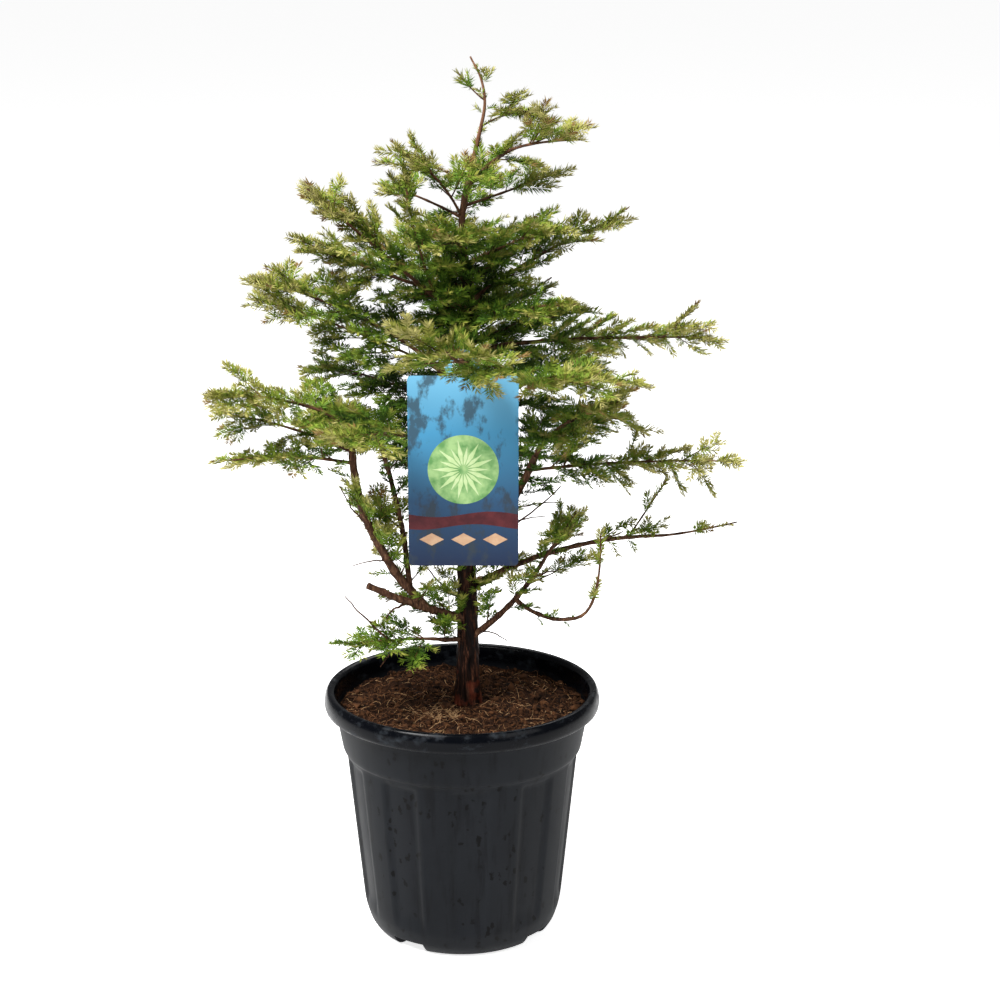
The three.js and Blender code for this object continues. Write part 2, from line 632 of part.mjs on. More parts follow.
function labelGeometry({ right, top }) {
  const half = LABEL_WIDTH / 2;
  const card = new THREE.Shape();
  const shoulder = Math.sqrt(TAB_RADIUS ** 2 - TAB_RISE ** 2);
  const shoulderTurn = Math.asin(TAB_RISE / TAB_RADIUS);
  card.moveTo(-half + LABEL_CORNER, -LABEL_HEIGHT);
  card.lineTo(half - LABEL_CORNER, -LABEL_HEIGHT);
  card.absarc(half - LABEL_CORNER, -LABEL_HEIGHT + LABEL_CORNER, LABEL_CORNER, -Math.PI / 2, 0);
  card.absarc(half - LABEL_CORNER, -LABEL_CORNER, LABEL_CORNER, 0, Math.PI / 2);
  card.lineTo(shoulder, 0);
  card.absarc(0, TAB_RISE, TAB_RADIUS, -shoulderTurn, Math.PI + shoulderTurn);
  card.absarc(-half + LABEL_CORNER, -LABEL_CORNER, LABEL_CORNER, Math.PI / 2, Math.PI);
  card.absarc(-half + LABEL_CORNER, -LABEL_HEIGHT + LABEL_CORNER, LABEL_CORNER, Math.PI, 1.5 * Math.PI);
  card.holes.push(new THREE.Path().absarc(0, TAB_RISE, TAB_HOLE_RADIUS, 0, 2 * Math.PI));
  const settings = { depth: LABEL_THICKNESS, bevelEnabled: false, curveSegments: 4 };
  const sheet = new THREE.ExtrudeGeometry(card, settings);
  sheet.rotateX(Math.PI / 2);
  return sheet.translate(right, LABEL_DEPTH + LABEL_THICKNESS / 2, top);
}

// The assembly

const tree = new THREE.Group();

function addPart(name, geometry, material) {
  const mesh = new THREE.Mesh(geometry, material);
  mesh.name = name;
  tree.add(mesh);
}

const limbs = new Map();
limbs.set("trunk", makeTrunk());
for (const row of BOUGHS) limbs.set(row.name, makeBough(row, limbs));

const label = labelGeometry(labelPlace(limbs.get("bough_front")));
label.computeBoundingBox();
const labelSpace = label.boundingBox.clone().expandByScalar(LABEL_CLEARANCE);
const stems = MASSES.map((row) => makeStem(row, limbs));

addPart("pot", potGeometry(), POT_PLASTIC);
addPart("soil", soilGeometry(), SOIL);
for (const limb of limbs.values()) addPart(limb.name, geometryOf(limb.solid), BARK);
stems.forEach((stem, i) => addPart(stem.name, makeMass(stem, 101 + 7 * i, stems, limbs), NEEDLES));
addPart("label", label, CARD);

export default tree;
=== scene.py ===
import math

import bpy
import numpy as np
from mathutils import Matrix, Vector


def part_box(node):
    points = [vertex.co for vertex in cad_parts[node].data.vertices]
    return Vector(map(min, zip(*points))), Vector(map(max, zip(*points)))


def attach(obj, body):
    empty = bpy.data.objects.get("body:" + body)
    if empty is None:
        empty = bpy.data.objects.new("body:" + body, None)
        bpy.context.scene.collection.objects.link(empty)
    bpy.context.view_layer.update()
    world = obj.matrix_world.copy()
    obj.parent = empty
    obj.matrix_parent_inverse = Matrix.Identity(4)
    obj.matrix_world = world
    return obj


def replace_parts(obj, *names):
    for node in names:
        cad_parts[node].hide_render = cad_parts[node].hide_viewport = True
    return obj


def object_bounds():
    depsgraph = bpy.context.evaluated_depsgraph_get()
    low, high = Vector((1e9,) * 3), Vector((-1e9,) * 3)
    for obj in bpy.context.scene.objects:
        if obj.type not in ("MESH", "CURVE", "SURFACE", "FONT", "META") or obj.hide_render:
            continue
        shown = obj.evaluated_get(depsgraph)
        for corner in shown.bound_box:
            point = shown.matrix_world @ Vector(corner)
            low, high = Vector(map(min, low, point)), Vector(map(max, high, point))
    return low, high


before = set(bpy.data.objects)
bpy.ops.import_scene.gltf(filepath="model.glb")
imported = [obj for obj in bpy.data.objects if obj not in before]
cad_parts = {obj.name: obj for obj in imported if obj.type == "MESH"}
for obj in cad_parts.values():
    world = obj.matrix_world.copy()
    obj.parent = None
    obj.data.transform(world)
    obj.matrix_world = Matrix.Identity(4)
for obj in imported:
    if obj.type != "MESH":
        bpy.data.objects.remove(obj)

# A young dawn redwood in a black nursery container, with a plain picture label hung on a front bough.
# Sizes are in millimetres, as in the part's source, and meshes are made in metres.
cad_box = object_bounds()
MM = 0.001
UP = np.array([0.0, 0.0, 1.0])
# A direction that no limb runs along
ASIDE = np.array([0.31, 0.95, 0.05])
TINY = 1e-9
TRUNK_SEED = 11
BOUGH_SEED = 12
NEEDLE_SEED = 5
SOIL_SEED = 21
CURVE_POINTS = 101
BEND_POINTS = 41
TANGENT_STEP = 0.005

# The stage, with places in metres. The camera stands in front of the plant, at eye height.
CAMERA_PLACE = (0.056, -3.38, 1.61)
CAMERA_PITCH = 15.7
CAMERA_LENS = 87.6
CAMERA_SENSOR = 36.0
FLOOR_HALF = 45
FLOOR_GREY = 0.6
FLOOR_GLOW = 1.6
SKY_STRENGTH = 0.5
LIGHT_AIM = (0.02, 0, 0.75)
EXPOSURE = -1

# The container
POT_HEIGHT = 375
RIM_RADIUS = 203
RIM_WIDTH = 16
RIM_DEPTH = 29
COLLAR_DEPTH = 60
COLLAR_FOOT = POT_HEIGHT - RIM_DEPTH - COLLAR_DEPTH
SHOULDER_RADIUS = 171
CORNER_RADIUS = 146
CORNER_HEIGHT = 40
FOOT_RADIUS = 118
FOOT_WIDTH = 10
FLOOR_HEIGHT = 22
FLOOR_MIDDLE_RADIUS = 0.5
WALL = 3
FLUTES = 10
FLUTE_DEPTH = 4
NOTCHES = 4
NOTCH_WIDTH = 52
NOTCH_HEIGHT = 19
NOTCH_TURN = math.radians(-35)
FOOT_BAR_WIDTH = 12
POT_SIDES = 240
PROFILE_STEP = 7
ROUNDINGS = 2
ROUNDING = 3
ROUNDING_SHARE = 0.25
WET_RIM_HEIGHTS = (340, 352)

# Each flute: as shares of the way from one to the next, where it sinks and where it rises again, and the
# heights between which its ends fade
FLUTE_START = 0.25
FLUTE_SINKS = (0.08, 0.17)
FLUTE_RISES = (0.58, 0.67)
FLUTE_LOW_END = (CORNER_HEIGHT - 6, CORNER_HEIGHT + 26)
FLUTE_HIGH_END = (COLLAR_FOOT - 17, COLLAR_FOOT - 6)

# The soil: a mound at the trunk, a sunk edge, clods, crumbs and fibres
SOIL_HEIGHT = 349
SOIL_RADIUS = 183
SOIL_SINK = 3
EDGE_SINK = 4
EDGE_FROM = 120
MOUND_HEIGHT = 5
MOUND_WIDTH = 46
SOIL_SIDES = 200
SOIL_RINGS = 96
SOIL_MIDDLE_SHARE = 0.004
SOIL_CLEARANCE = 0.5
# Clods: length of a wave, height, how many waves
CLODS = [(70, 1.8, 6), (26, 1.5, 10), (10, 1.0, 14), (4.5, 0.55, 16)]
CLOD_SPREAD = (0.7, 1.4)
# Turns for clods and crumbs run over a little more than a full turn, in radians
ANY_TURN = 6.3
TRUNK_CLEARANCE = 22
LITTER_MARGIN = 4
CRUMBS = 1700
CRUMB_SIDES = 5
CRUMB_SIZES = (1.3, 3.4)
CRUMB_SLOPE = 0.35
CRUMB_GRAIN = 90
CRUMB_DARK = (0.003, 0.0015, 0.001)
CRUMB_LIGHT = (0.062, 0.026, 0.011)
BIG_CRUMB_CHANCE = 0.06
BIG_CRUMB_GROWTH = 1.2
CRUMB_ROUGHNESS = (0.6, 1.3)
CRUMB_STRETCH = (0.6, 1.4)
CRUMB_SEAT = 0.2
FIBRE_POINTS = 7
FIBRE_SIDES = 3
FIBRE_LENGTHS = (9, 46)
SHORT_FIBRES = (6, 18)
FIBRE_BEND = 0.9
FIBRE_LIFTS = (0.2, 1.6)
FIBRE_ARCHES = (0, 4)
ARCHED_CHANCE = 0.35
FIBRE_RADII = (0.25, 0.6)
FIBRE_TAPER = 0.5
FIBRE_MARGIN = 3
TUFT_FIBRES = 120
TUFT_PLACE = (-25, -46)
TUFT_SPREAD = (15, 9)
# Fibres by tint: name, how many, darkest and lightest colour. The tuft is made of the first tint.
FIBRES = [
    ("soil_fibres_tan", 330, (0.200, 0.110, 0.050), (0.400, 0.250, 0.130)),
    ("soil_fibres_brown", 640, (0.060, 0.026, 0.012), (0.170, 0.080, 0.036)),
    ("soil_fibres_dark", 520, (0.012, 0.006, 0.004), (0.055, 0.026, 0.014)),
]

# The trunk
TREE_TOP = 1292
TRUNK_RADIUS = 17
TRUNK_TIP_RADIUS = 1.2
TRUNK_TAPER = 1.1
ROOT_FLARE = 4
FLARE_HEIGHT = 26
TRUNK_SIDES = 72
TRUNK_STEPS = 330
RUDDY_FOOT_HEIGHTS = (352, 420)
PALE_BARK_HEIGHTS = (1020, 1160)

# Relief on bark: how many waves, the range of their turns round the limb and the range of their lengths
# along it. Depths are shares of the limb's radius.
RIDGES = (7, (5, 13), (60, 220))
CRACKS = (9, (8, 20), (14, 44))
LOBES = (3, (2, 5), (90, 260))
BUMPS = (6, (2, 7), (12, 60))
WANDER = (3, (1, 2), (40, 120))
RIDGE_DEPTH = 0.075
CRACK_DEPTH = 0.035
LOBE_DEPTH = 0.04
BUMP_DEPTH = 0.06
KNOT_DEPTH = 0.05
KNOT_SPACING = 61
KNOT_PLACE = 20
KNOT_SPREAD = 40
KNOTS_ROUND = 3
KNOT_DRIFT = 30

# Boughs, with the rings of old shoots, and dry twigs
BOUGH_SIDES = 18
BOUGH_STEP = 3
BOUGH_LEAST_STEPS = 12
FIRST_RING = (10, 24)
RING_SPACING = 26
RING_SHIFT = 6
RING_WIDTH = 2.6
RING_DEPTH = 0.2
WANDER_DEPTH = 0.35
WANDER_AXES = (1.0, 0.6, 1.0)
WANDER_SHARE = 0.3
DRY_STEPS = 14
DRY_SIDES = 6
DRY_KINK = 0.7
DRY_TAPER = 0.55

# The label, and its print as measured from the middle of the card's top edge
GAP = 0.3
LABEL_WIDTH = 152
LABEL_HEIGHT = 270
LABEL_THICKNESS = 1.2
LABEL_CORNER = 6
LABEL_DEPTH = -150
TAB_RADIUS = 24
TAB_HOLE_RADIUS = 15
TAB_RISE = 12
CORNER_STEPS = 12
TAB_STEPS = 40
DISC_STEPS = 72
PRINT_THICKNESS = 0.1
DISC_RADIUS = 49
DISC_HEIGHT = -132
BLADES = 18
BLADE_FOOT = 6
BLADE_REACHES = (34, 43)
BLADE_HALF_WIDTH = 0.075
BAND_TOP = -196
BAND_FOOT = -214
BAND_SWING = 4
BAND_WAVE = 24
BAND_SHIFT = 0.9
BAND_POINTS = 49
BAND_MARGIN = 0.5
LOZENGE_PLACES = (-44, 0, 44)
LOZENGE_HEIGHT = -232
LOZENGE_HALF_WIDTH = 17
LOZENGE_HALF_HEIGHT = 9

# The foliage rule of the part's source, with slimmer tips and with masses that may reach into each other
TWIG_SPACING = 80
FIRST_TWIG = 0.4
STEM_RADIUS = 3
STEM_TIP_RADIUS = 1.0
TIP_STEM_SHARE = 0.9
SIDE_STEM_SHARE = 0.5
STEM_POINTS = 11
HANDLE_SHARE = 0.3
FORK_ANGLE = math.radians(56)
FORK_CLOSING = 0.3
SPAN_TAPER = 0.5
SPAN_LEAST = 0.75
SPAN_SPREAD = 0.4
END_SPAN_SHARE = 0.7
END_LENGTH_SHARE = 0.5
END_OVERLAP = 0.6
TOP_SHARE = 0.6
RISE_SPREAD = 55
ROLL = math.radians(55)
SPRAY_HALF_WIDTH = 0.35
SPRAY_WIDEST = 0.64
SPRAY_SHOULDER = 0.36
SHOULDER_WIDTH = 0.9
SIZE_TRIES = (1, 0.85, 0.7, 0.56, 0.44)
TURN_TRIES = 4
LIMB_STRETCHES = 20
LIMB_CLEARANCE = 2.5
LABEL_CLEARANCE = 9
SPACE_MARGIN = -14
RIM_CLEARANCE = 5
RULE_SEED = 101
SEED_STEP = 7
RULE_FACTOR = 1664525
RULE_STEP = 1013904223
RULE_RANGE = 2**32

# What the looks add to it: finer twigs between the source's, and stems and twigs as tubes
FINE_SPACING = 42
FULL_SPAN = 125
FINE_SHARE = (0.5, 0.9)
FINE_SINK = 14
FINE_END = 0.94
FINE_PLACES = (0.2, 0.6)
STEM_STEP = 9
STEM_LEAST_STEPS = 8
STEM_LEAST_END = 0.95
STEM_RING_DEPTH = 0.18
STEM_RING_EVERY = 3
STEM_SIDES = 6
TWIG_POINTS = 7
TWIG_SIDES = 4
TWIG_RADIUS = 0.7
TWIG_GIRTH = 140
TWIG_TAPER = 0.3
WOODLESS_SHARE = 0.4
TWIG_DROOP = (-0.02, 0.07)
TWIG_SWAY = (0, 0.06)
TWIG_ONWARD = 1.4

# Single sprays and short shoots
SPRAY_OUTER = 0.6
SHOOT_OUTER = 0.4
SHOOT_FORWARD = 0.5
SHOOT_RISES = (-0.2, 0.5)
SHOOT_LEAN = 0.1
SHOOT_SEAT = 0.8

# Feathers of needles, in pairs along a twig and one that ends it
FEATHER_SPACING = 19
FEATHER_FIRST = 0.2
FEATHER_LAST = 0.3
FEATHER_SHARE = 0.45
FEATHER_SPREAD = (0.6, 1.1)
FEATHER_OUTLINE = (0.22, 0.66)
FEATHER_FULLNESS = 0.8
ENDING_SHARE = 0.55
ENDING_OUTER = 0.35
FEATHER_SIZES = (20, 58)
FEATHER_LEAST = 8
FEATHER_ANGLE = (56, 36)
FEATHER_SWAY = 0.12
FEATHER_LIFT = 0.06
LIFT_SPREAD = 0.14
FEATHER_TWIST = 0.22
FEATHER_SHIFT = 4
FEATHER_SAG = 0.1
LONE_FEATHER = 46
LEVELLING = 0.9

# Needles
NEEDLE_SPACING = 1.15
NEEDLE_LEAST_PAIRS = 4
NEEDLE_LENGTH = 15
NEEDLE_SPREAD = (0.78, 1.14)
NEEDLE_OUTLINE = (0.16, 0.70)
NEEDLE_HALF_WIDTH = 0.9
NEEDLE_WIDEST = 0.36
NEEDLE_ANGLE = (62, 34)
NEEDLE_SWAY = 0.12
NEEDLE_ROLL = (0.16, 0.30)
NEEDLE_TWIST = 0.55
LOOSE_SHARE = 0.22
LOOSE_ROLL = (-0.9, 1.5)
FULL_FEATHER = 60
YOUNG_LENGTH = 0.5
YOUNG_WIDTH = 0.7
SHOOT_HALF_WIDTH = 0.5
REACH_MARGIN = -11

# What sets a feather's shade, which is painted light and shade: its place in the crown, and how much each
# cause of painted light counts for, which are reach from the trunk, place on the mass, climb, and the left,
# the front and the low right of the crown
CROWN_RADIUS = 330
CROWN_FOOT = 480
CROWN_HEIGHT = 800
DEPTH_SHARE = 0.7
LIGHT_WEIGHTS = (0.44, 0.30, 0.63, 0.06, 0.12, 0.5)
LIGHT_SPREAD = 0.10
YOUNG_BELOW = 660
# Young leaves above this height stand in the crown's shadow and are painted a shade paler: painted light
PALER_ABOVE = 520
# Needles below the first share of a feather are painted a shade darker as painted shade; those above the
# second are a shade lighter, as young growth and painted highlight
DARK_FOOT = 0.35
LIGHT_TIP = 0.78
BRONZE_CHANCE = 0.12
BRONZE_FROM = 0.7

# The trunk's bends: height, right, back
TRUNK_BENDS = [
    (SOIL_HEIGHT, 9, 0),
    (600, 8, 3),
    (800, 8, 1),
    (930, 14, 0),
    (1071, 3, -2),
    (1163, 22, 0),
    (1230, 35, 2),
    (1264, 29, 3),
    (TREE_TOP, 15, 3),
]
TRUNK_FOOT = TRUNK_BENDS[0][1]

# name, what it leaves and where (a height on the trunk, a share of a bough), tip, bow, radii at root and end
BOUGHS = [
    ("bough_low_left_stub", "trunk", 478, (-132, -75, 554), (4, -4, -4), (7, 4.5)),
    ("bough_left_rising", "bough_low_left_stub", 0.42, (-152, -70, 761), (-26, -6, -4), (6.6, 5)),
    ("bough_left_slim", "bough_left_rising", 0.14, (-115, 10, 736), (6, 4, 0), (4.2, 3.2)),
    ("bough_low_left", "trunk", 450, (-32, -24, 456), (0, -2, -1), (4, 3.2)),
    ("bough_low_right", "trunk", 448, (121, -46, 587), (6, -4, -7), (5.2, 2.6)),
    ("bough_low_right_arm", "bough_low_right", 0.56, (164, -71, 504), (-2, -2, -11), (3.2, 2.6)),
    ("bough_right_low", "trunk", 525, (285, 51, 591), (-4, 2, 18), (5, 2.4)),
    ("bough_right_rising", "trunk", 580, (106, -50, 738), (8, -6, -4), (7, 4.6)),
    ("bough_left_mid", "trunk", 832, (-52, 12, 868), (-2, 0, -3), (5, 4)),
    ("bough_front_left", "trunk", 742, (-50, -64, 768), (-2, 2, -2), (5, 4)),
    ("bough_front", "trunk", 868, (4, -186, 905), (0, 0, 3), (5.2, 4)),
    ("bough_right_long", "trunk", 874, (82, -17, 894), (0, -1, 2), (5, 4)),
    ("bough_left_high", "trunk", 938, (-54, -36, 980), (-2, -2, -4), (5, 3.8)),
    ("bough_upper_right", "trunk", 1112, (62, -27, 1163), (-2, 0, 2), (3.2, 2.4)),
]

# name, what it grows on and where (nothing: from its tip), tip, bow, bare share, longest twig, climb
MASSES = [
    ("foliage_leader", "trunk", 1232, (-4, 10, 1272), (0, 0, -3), 0.3, 45, 10),
    ("foliage_crest_right", "trunk", 1196, (120, -30, 1220), (-4, 0, 8), 0.2, 76, 14),
    ("foliage_upper_right_front", "bough_upper_right", None, (170, -60, 1186), (0, 0, 0), 0.1, 126, 38),
    ("foliage_upper_right_back", "trunk", 1086, (152, 80, 1128), (0, 4, -2), 0.12, 84, 12),
    ("foliage_upper_left_front", "trunk", 1070, (-84, -60, 1174), (8, 0, 8), 0.12, 95, 16),
    ("foliage_upper_left_back", "trunk", 1070, (-118, 86, 1106), (0, 0, 4), 0.12, 96, 14),
    ("foliage_upper_back", "trunk", 1066, (22, 124, 1130), (0, 6, -4), 0.12, 90, 10),
    ("foliage_upper_front", "trunk", 1022, (-14, -136, 1068), (0, -4, 4), 0.12, 110, 12),
    ("foliage_left_high", "bough_left_high", None, (-213, -100, 1132), (0, 0, 0), 0.05, 116, 12),
    ("foliage_left_erect", "bough_left_high", 0.7, (-76, -30, 1140), (-6, 0, 0), 0.25, 88, 10),
    ("foliage_right_high", "trunk", 950, (230, 70, 1058), (0, 0, 12), 0.12, 120, 30),
    ("foliage_right_high_front", "trunk", 1004, (150, -24, 1064), (0, 0, 4), 0.12, 110, 16),
    ("foliage_left_high_back", "trunk", 952, (-238, 50, 1034), (0, 4, -6), 0.12, 125, 8),
    ("foliage_right_inner", "trunk", 892, (186, 78, 924), (0, 4, 4), 0.12, 105, 4),
    ("foliage_back_high", "trunk", 972, (-46, 200, 1046), (0, 8, -8), 0.12, 120, 10),
    ("foliage_right_mid_front", "trunk", 918, (166, -130, 972), (0, 0, 8), 0.12, 108, 10),
    ("foliage_back_right_high", "trunk", 914, (138, 160, 960), (0, 4, -4), 0.12, 105, 6),
    ("foliage_left_mid", "bough_left_mid", None, (-310, 34, 986), (0, 0, 0), 0.05, 126, 14),
    ("foliage_left_mid_back", "trunk", 786, (-226, 150, 832), (0, 0, 8), 0.15, 125, 6),
    ("foliage_right_long", "bough_right_long", None, (361, -80, 916), (0, 0, 0), 0.05, 98, 8),
    ("foliage_front", "bough_front", None, (-14, -318, 948), (0, 0, 0), 0.1, 141, 14),
    ("foliage_front_right", "trunk", 838, (168, -226, 884), (8, -6, 6), 0.3, 134, 8),
    ("foliage_front_left", "bough_front_left", None, (-164, -236, 812), (0, 0, 0), 0.05, 134, 10),
    ("foliage_back_mid", "trunk", 832, (34, 304, 926), (0, 6, 0), 0.15, 154, 15),
    ("foliage_left_mid_lower", "bough_left_mid", 0.7, (-310, 112, 935), (0, 6, 6), 0.1, 119, 8),
    ("foliage_back_right", "trunk", 776, (212, 214, 846), (0, 8, 4), 0.12, 149, 15),
    ("foliage_left_low", "bough_left_rising", None, (-363, -100, 842), (0, 0, 0), 0.05, 132, 4),
    ("foliage_left_low_back", "bough_left_rising", 0.96, (-358, -28, 797), (0, 0, 10), 0.15, 118, 2),
    ("foliage_left_low_hanging", "bough_left_rising", 0.9, (-323, -138, 754), (0, 0, 8), 0.2, 114, 6),
    ("foliage_left_inner", "bough_left_slim", None, (-214, 44, 778), (0, 0, 0), 0.05, 125, 12),
    ("foliage_left_sparse", "bough_left_slim", 0.42, (-164, 30, 668), (0, 0, 0), 0.2, 65, 10),
    ("foliage_left_back_low", "trunk", 640, (-226, 196, 752), (0, 0, 10), 0.3, 134, 8),
    ("foliage_right_lower_front", "bough_right_rising", None, (224, -162, 846), (0, 0, 0), 0.05, 140, 10),
    ("foliage_right_mid", "bough_right_rising", 0.88, (390, -104, 745), (0, 6, 4), 0.12, 86, 4),
    ("foliage_right_back_low", "trunk", 690, (234, 176, 752), (0, 6, 6), 0.12, 146, 8),
    ("foliage_back_low", "trunk", 618, (-62, 268, 742), (0, 6, 0), 0.25, 149, 8),
    ("foliage_low_left", "bough_low_left", None, (-152, -84, 470), (0, 0, 0), 0.05, 96, 0),
    ("foliage_low_right", "bough_low_right", None, (168, -62, 664), (0, 0, 0), 0.02, 80, 14),
    ("foliage_low_right_arm", "bough_low_right_arm", None, (198, -80, 640), (0, 0, 0), 0.15, 45, 10),
    ("foliage_right_low", "bough_right_low", None, (412, 70, 608), (0, 0, 0), 0.2, 56, 20),
    ("foliage_right_low_spray", "bough_right_low", 0.42, (176, 10, 640), (4, 0, -4), 0.1, 80, 10),
    ("foliage_right_low_upright", "bough_right_low", 0.86, (304, 60, 680), (0, 0, 0), 0.2, 52, 10),
]

# Dry twigs: what each leaves and where, tip, bow, radius at its start
DRY_TWIGS = [
    ("bough_low_left_stub", 0.6, (-116, -66, 491), (-4, 0, 4), 2.04),
    ("foliage_low_left", 0.6, (-166, -70, 537), (6, 0, -8), 2.04),
    ("foliage_low_left", 0.45, (-117, -60, 426), (-3, 0, -3), 1.53),
    ("trunk", 452, (66, 2, 445), (0, -6, 12), 1.53),
    ("trunk", 505, (-55, 4, 565), (-4, 0, -5), 2.04),
    ("bough_left_rising", 0.34, (-155, -64, 580), (0, 0, 3), 1.53),
    ("bough_left_rising", 0.55, (-170, -66, 699), (-3, 0, -4), 1.7),
    ("bough_low_right", 0.78, (150, -20, 560), (0, 0, 4), 1.53),
    ("bough_right_low", 0.68, (236, 30, 604), (4, 0, 0), 1.7),
    ("bough_right_rising", 0.1, (143, -20, 686), (6, 0, -6), 1.87),
    ("bough_right_rising", 0.3, (122, 6, 634), (0, 0, 3), 1.53),
    ("bough_right_rising", 0.5, (139, 10, 653), (0, 0, 3), 1.53),
]

# Single leafy twigs: what each leaves and where, tip
SPRAYS = [
    ("bough_upper_right", 0.35, (88, -20, 1189)),
    ("bough_upper_right", 0.8, (118, -12, 1152)),
    ("foliage_left_high", 0.45, (-208, -46, 1121)),
    ("foliage_left_high", 0.3, (-155, -81, 1114)),
    ("foliage_left_erect", 0.55, (-99, -39, 1089)),
    ("foliage_upper_left_front", 0.6, (-113, -12, 1155)),
    ("foliage_right_long", 0.3, (214, -55, 948)),
    ("foliage_right_long", 0.62, (321, -41, 930)),
    ("foliage_front_right", 0.78, (258, -134, 878)),
    ("foliage_right_lower_front", 0.7, (270, -82, 782)),
    ("foliage_right_mid", 0.1, (168, -70, 766)),
    ("foliage_right_mid", 0.35, (245, -41, 702)),
    ("foliage_right_mid", 0.55, (321, -90, 758)),
    ("foliage_left_mid", 0.25, (-59, -19, 931)),
    ("foliage_left_mid", 0.5, (-132, -4, 985)),
    ("foliage_left_mid", 0.62, (-271, 13, 1005)),
    ("foliage_left_high_back", 0.6, (-204, 14, 1043)),
    ("foliage_left_low_hanging", 0.15, (-226, -49, 762)),
    ("foliage_right_long", 0.42, (272, -52, 929)),
    ("foliage_right_long", 0.75, (352, -53, 938)),
    ("trunk", 890, (-69, 15, 941)),
    ("trunk", 915, (-34, -30, 933)),
    ("bough_right_long", 0.5, (115, -59, 891)),
    ("bough_left_rising", 0.45, (-109, -36, 686)),
    ("bough_left_rising", 0.38, (-152, -83, 713)),
    ("bough_left_rising", 0.3, (-103, -70, 640)),
    ("bough_left_slim", 0.3, (-126, 2, 647)),
    ("bough_low_right", 0.72, (186, -16, 579)),
    ("bough_low_right", 0.62, (166, -52, 560)),
    ("bough_right_low", 0.8, (301, 23, 620)),
    ("bough_right_low", 0.72, (250, 59, 619)),
    ("trunk", 470, (-43, -33, 486)),
    ("trunk", 490, (74, 27, 499)),
    ("trunk", 505, (-31, -28, 533)),
    ("trunk", 520, (56, -33, 552)),
    ("foliage_left_inner", 0.5, (-190, 20, 825)),
    ("foliage_left_inner", 0.3, (-150, 0, 810)),
    ("foliage_left_mid_back", 0.35, (-165, 60, 802)),
    ("bough_left_rising", 0.97, (-175, -40, 824)),
    ("foliage_left_mid_lower", 0.35, (-215, 60, 890)),
    ("foliage_left_mid_lower", 0.25, (-200, 60, 864)),
    ("foliage_right_lower_front", 0.12, (92, -45, 800)),
    ("bough_left_rising", 0.06, (-40, -62, 560)),
    ("bough_low_right", 0.2, (50, -30, 535)),
    ("bough_low_left_stub", 0.2, (-45, -40, 540)),
    ("bough_front", 0.95, (-8, -226, 886)),
    ("bough_front", 0.95, (24, -222, 880)),
    ("bough_front", 0.9, (52, -206, 872)),
]

# Open places where sky shows through the crown, as ellipses on the upright plane through the trunk:
# middle across and up, half length, half height, slope in degrees
OPENINGS = [
    (-256, 905, 40, 18, 0),
    (-260, 845, 36, 14, -20),
    (-265, 760, 40, 10, 8),
    (-290, 702, 40, 12, 0),
    (-190, 668, 24, 14, 0),
    (-255, 1035, 28, 16, -30),
    (-135, 1112, 22, 14, 0),
    (-128, 715, 12, 20, 0),
    (-150, 890, 16, 7, 0),
    (85, 1092, 65, 13, 15),
    (185, 1098, 36, 20, 0),
    (-32, 1088, 40, 9, 0),
    (160, 998, 50, 20, 8),
    (200, 958, 45, 16, -8),
    (270, 865, 50, 12, 0),
    (265, 808, 24, 20, 0),
    (300, 752, 36, 9, 0),
    (190, 665, 45, 16, 0),
    (48, 1190, 14, 14, 0),
    (142, 532, 26, 12, 0),
    (56, 502, 12, 9, 0),
    (-118, 500, 18, 9, 0),
]

# The masses whose leaves are young and bright, and those with no finer twigs
BRIGHT = ("foliage_low_left", "foliage_left_sparse", "foliage_right_low_spray", "foliage_low_right")
SPARSE = ("foliage_leader", "foliage_low_right_arm", "foliage_right_low", "foliage_right_low_upright")

# Short leafy shoots: what they grow on, shares that they start and end at, how many, least and most length
SHOOTS = [
    ("trunk", 0.56, 0.71, 38, 40, 88),
    ("trunk", 0.88, 0.95, 7, 12, 22),
    ("trunk", 0.955, 0.995, 6, 14, 26),
    ("trunk", 0.14, 0.24, 8, 28, 50),
    ("bough_low_left_stub", 0.08, 0.5, 7, 30, 52),
    ("bough_left_rising", 0.02, 0.3, 6, 30, 54),
    ("bough_left_rising", 0.32, 0.95, 4, 30, 50),
    ("bough_left_slim", 0.05, 0.95, 12, 30, 56),
    ("bough_low_left", 0.1, 0.95, 3, 30, 56),
    ("bough_low_right", 0.4, 0.99, 8, 30, 50),
    ("bough_low_right_arm", 0.1, 0.95, 9, 8, 15),
    ("bough_right_low", 0.05, 0.34, 9, 30, 50),
    ("bough_right_low", 0.36, 0.98, 8, 16, 34),
    ("bough_right_rising", 0.05, 0.9, 10, 30, 54),
    ("bough_left_high", 0.15, 1, 14, 34, 64),
    ("bough_left_mid", 0.2, 1, 9, 34, 64),
    ("bough_front_left", 0.2, 1, 9, 34, 60),
    ("bough_front", 0.08, 0.95, 22, 34, 64),
    ("bough_right_long", 0.2, 1, 10, 34, 64),
    ("bough_upper_right", 0.2, 1, 8, 24, 50),
    ("foliage_right_mid", 0.05, 0.8, 10, 34, 60),
    ("foliage_left_low_hanging", 0.05, 0.85, 8, 34, 58),
    ("foliage_right_long", 0.3, 0.85, 3, 26, 44),
    ("foliage_left_high", 0.4, 0.8, 5, 30, 56),
    ("foliage_left_high_back", 0.4, 0.9, 5, 30, 56),
]

# Soft studio lamps: name, place in metres, size, power
LIGHTS = [
    ("key", (-2.1, -2.2, 4.2), 2.2, 1300),
    ("fill", (2.8, -2.4, 2.8), 2.6, 170),
    ("back", (0.6, 2.8, 3.8), 2.4, 220),
]
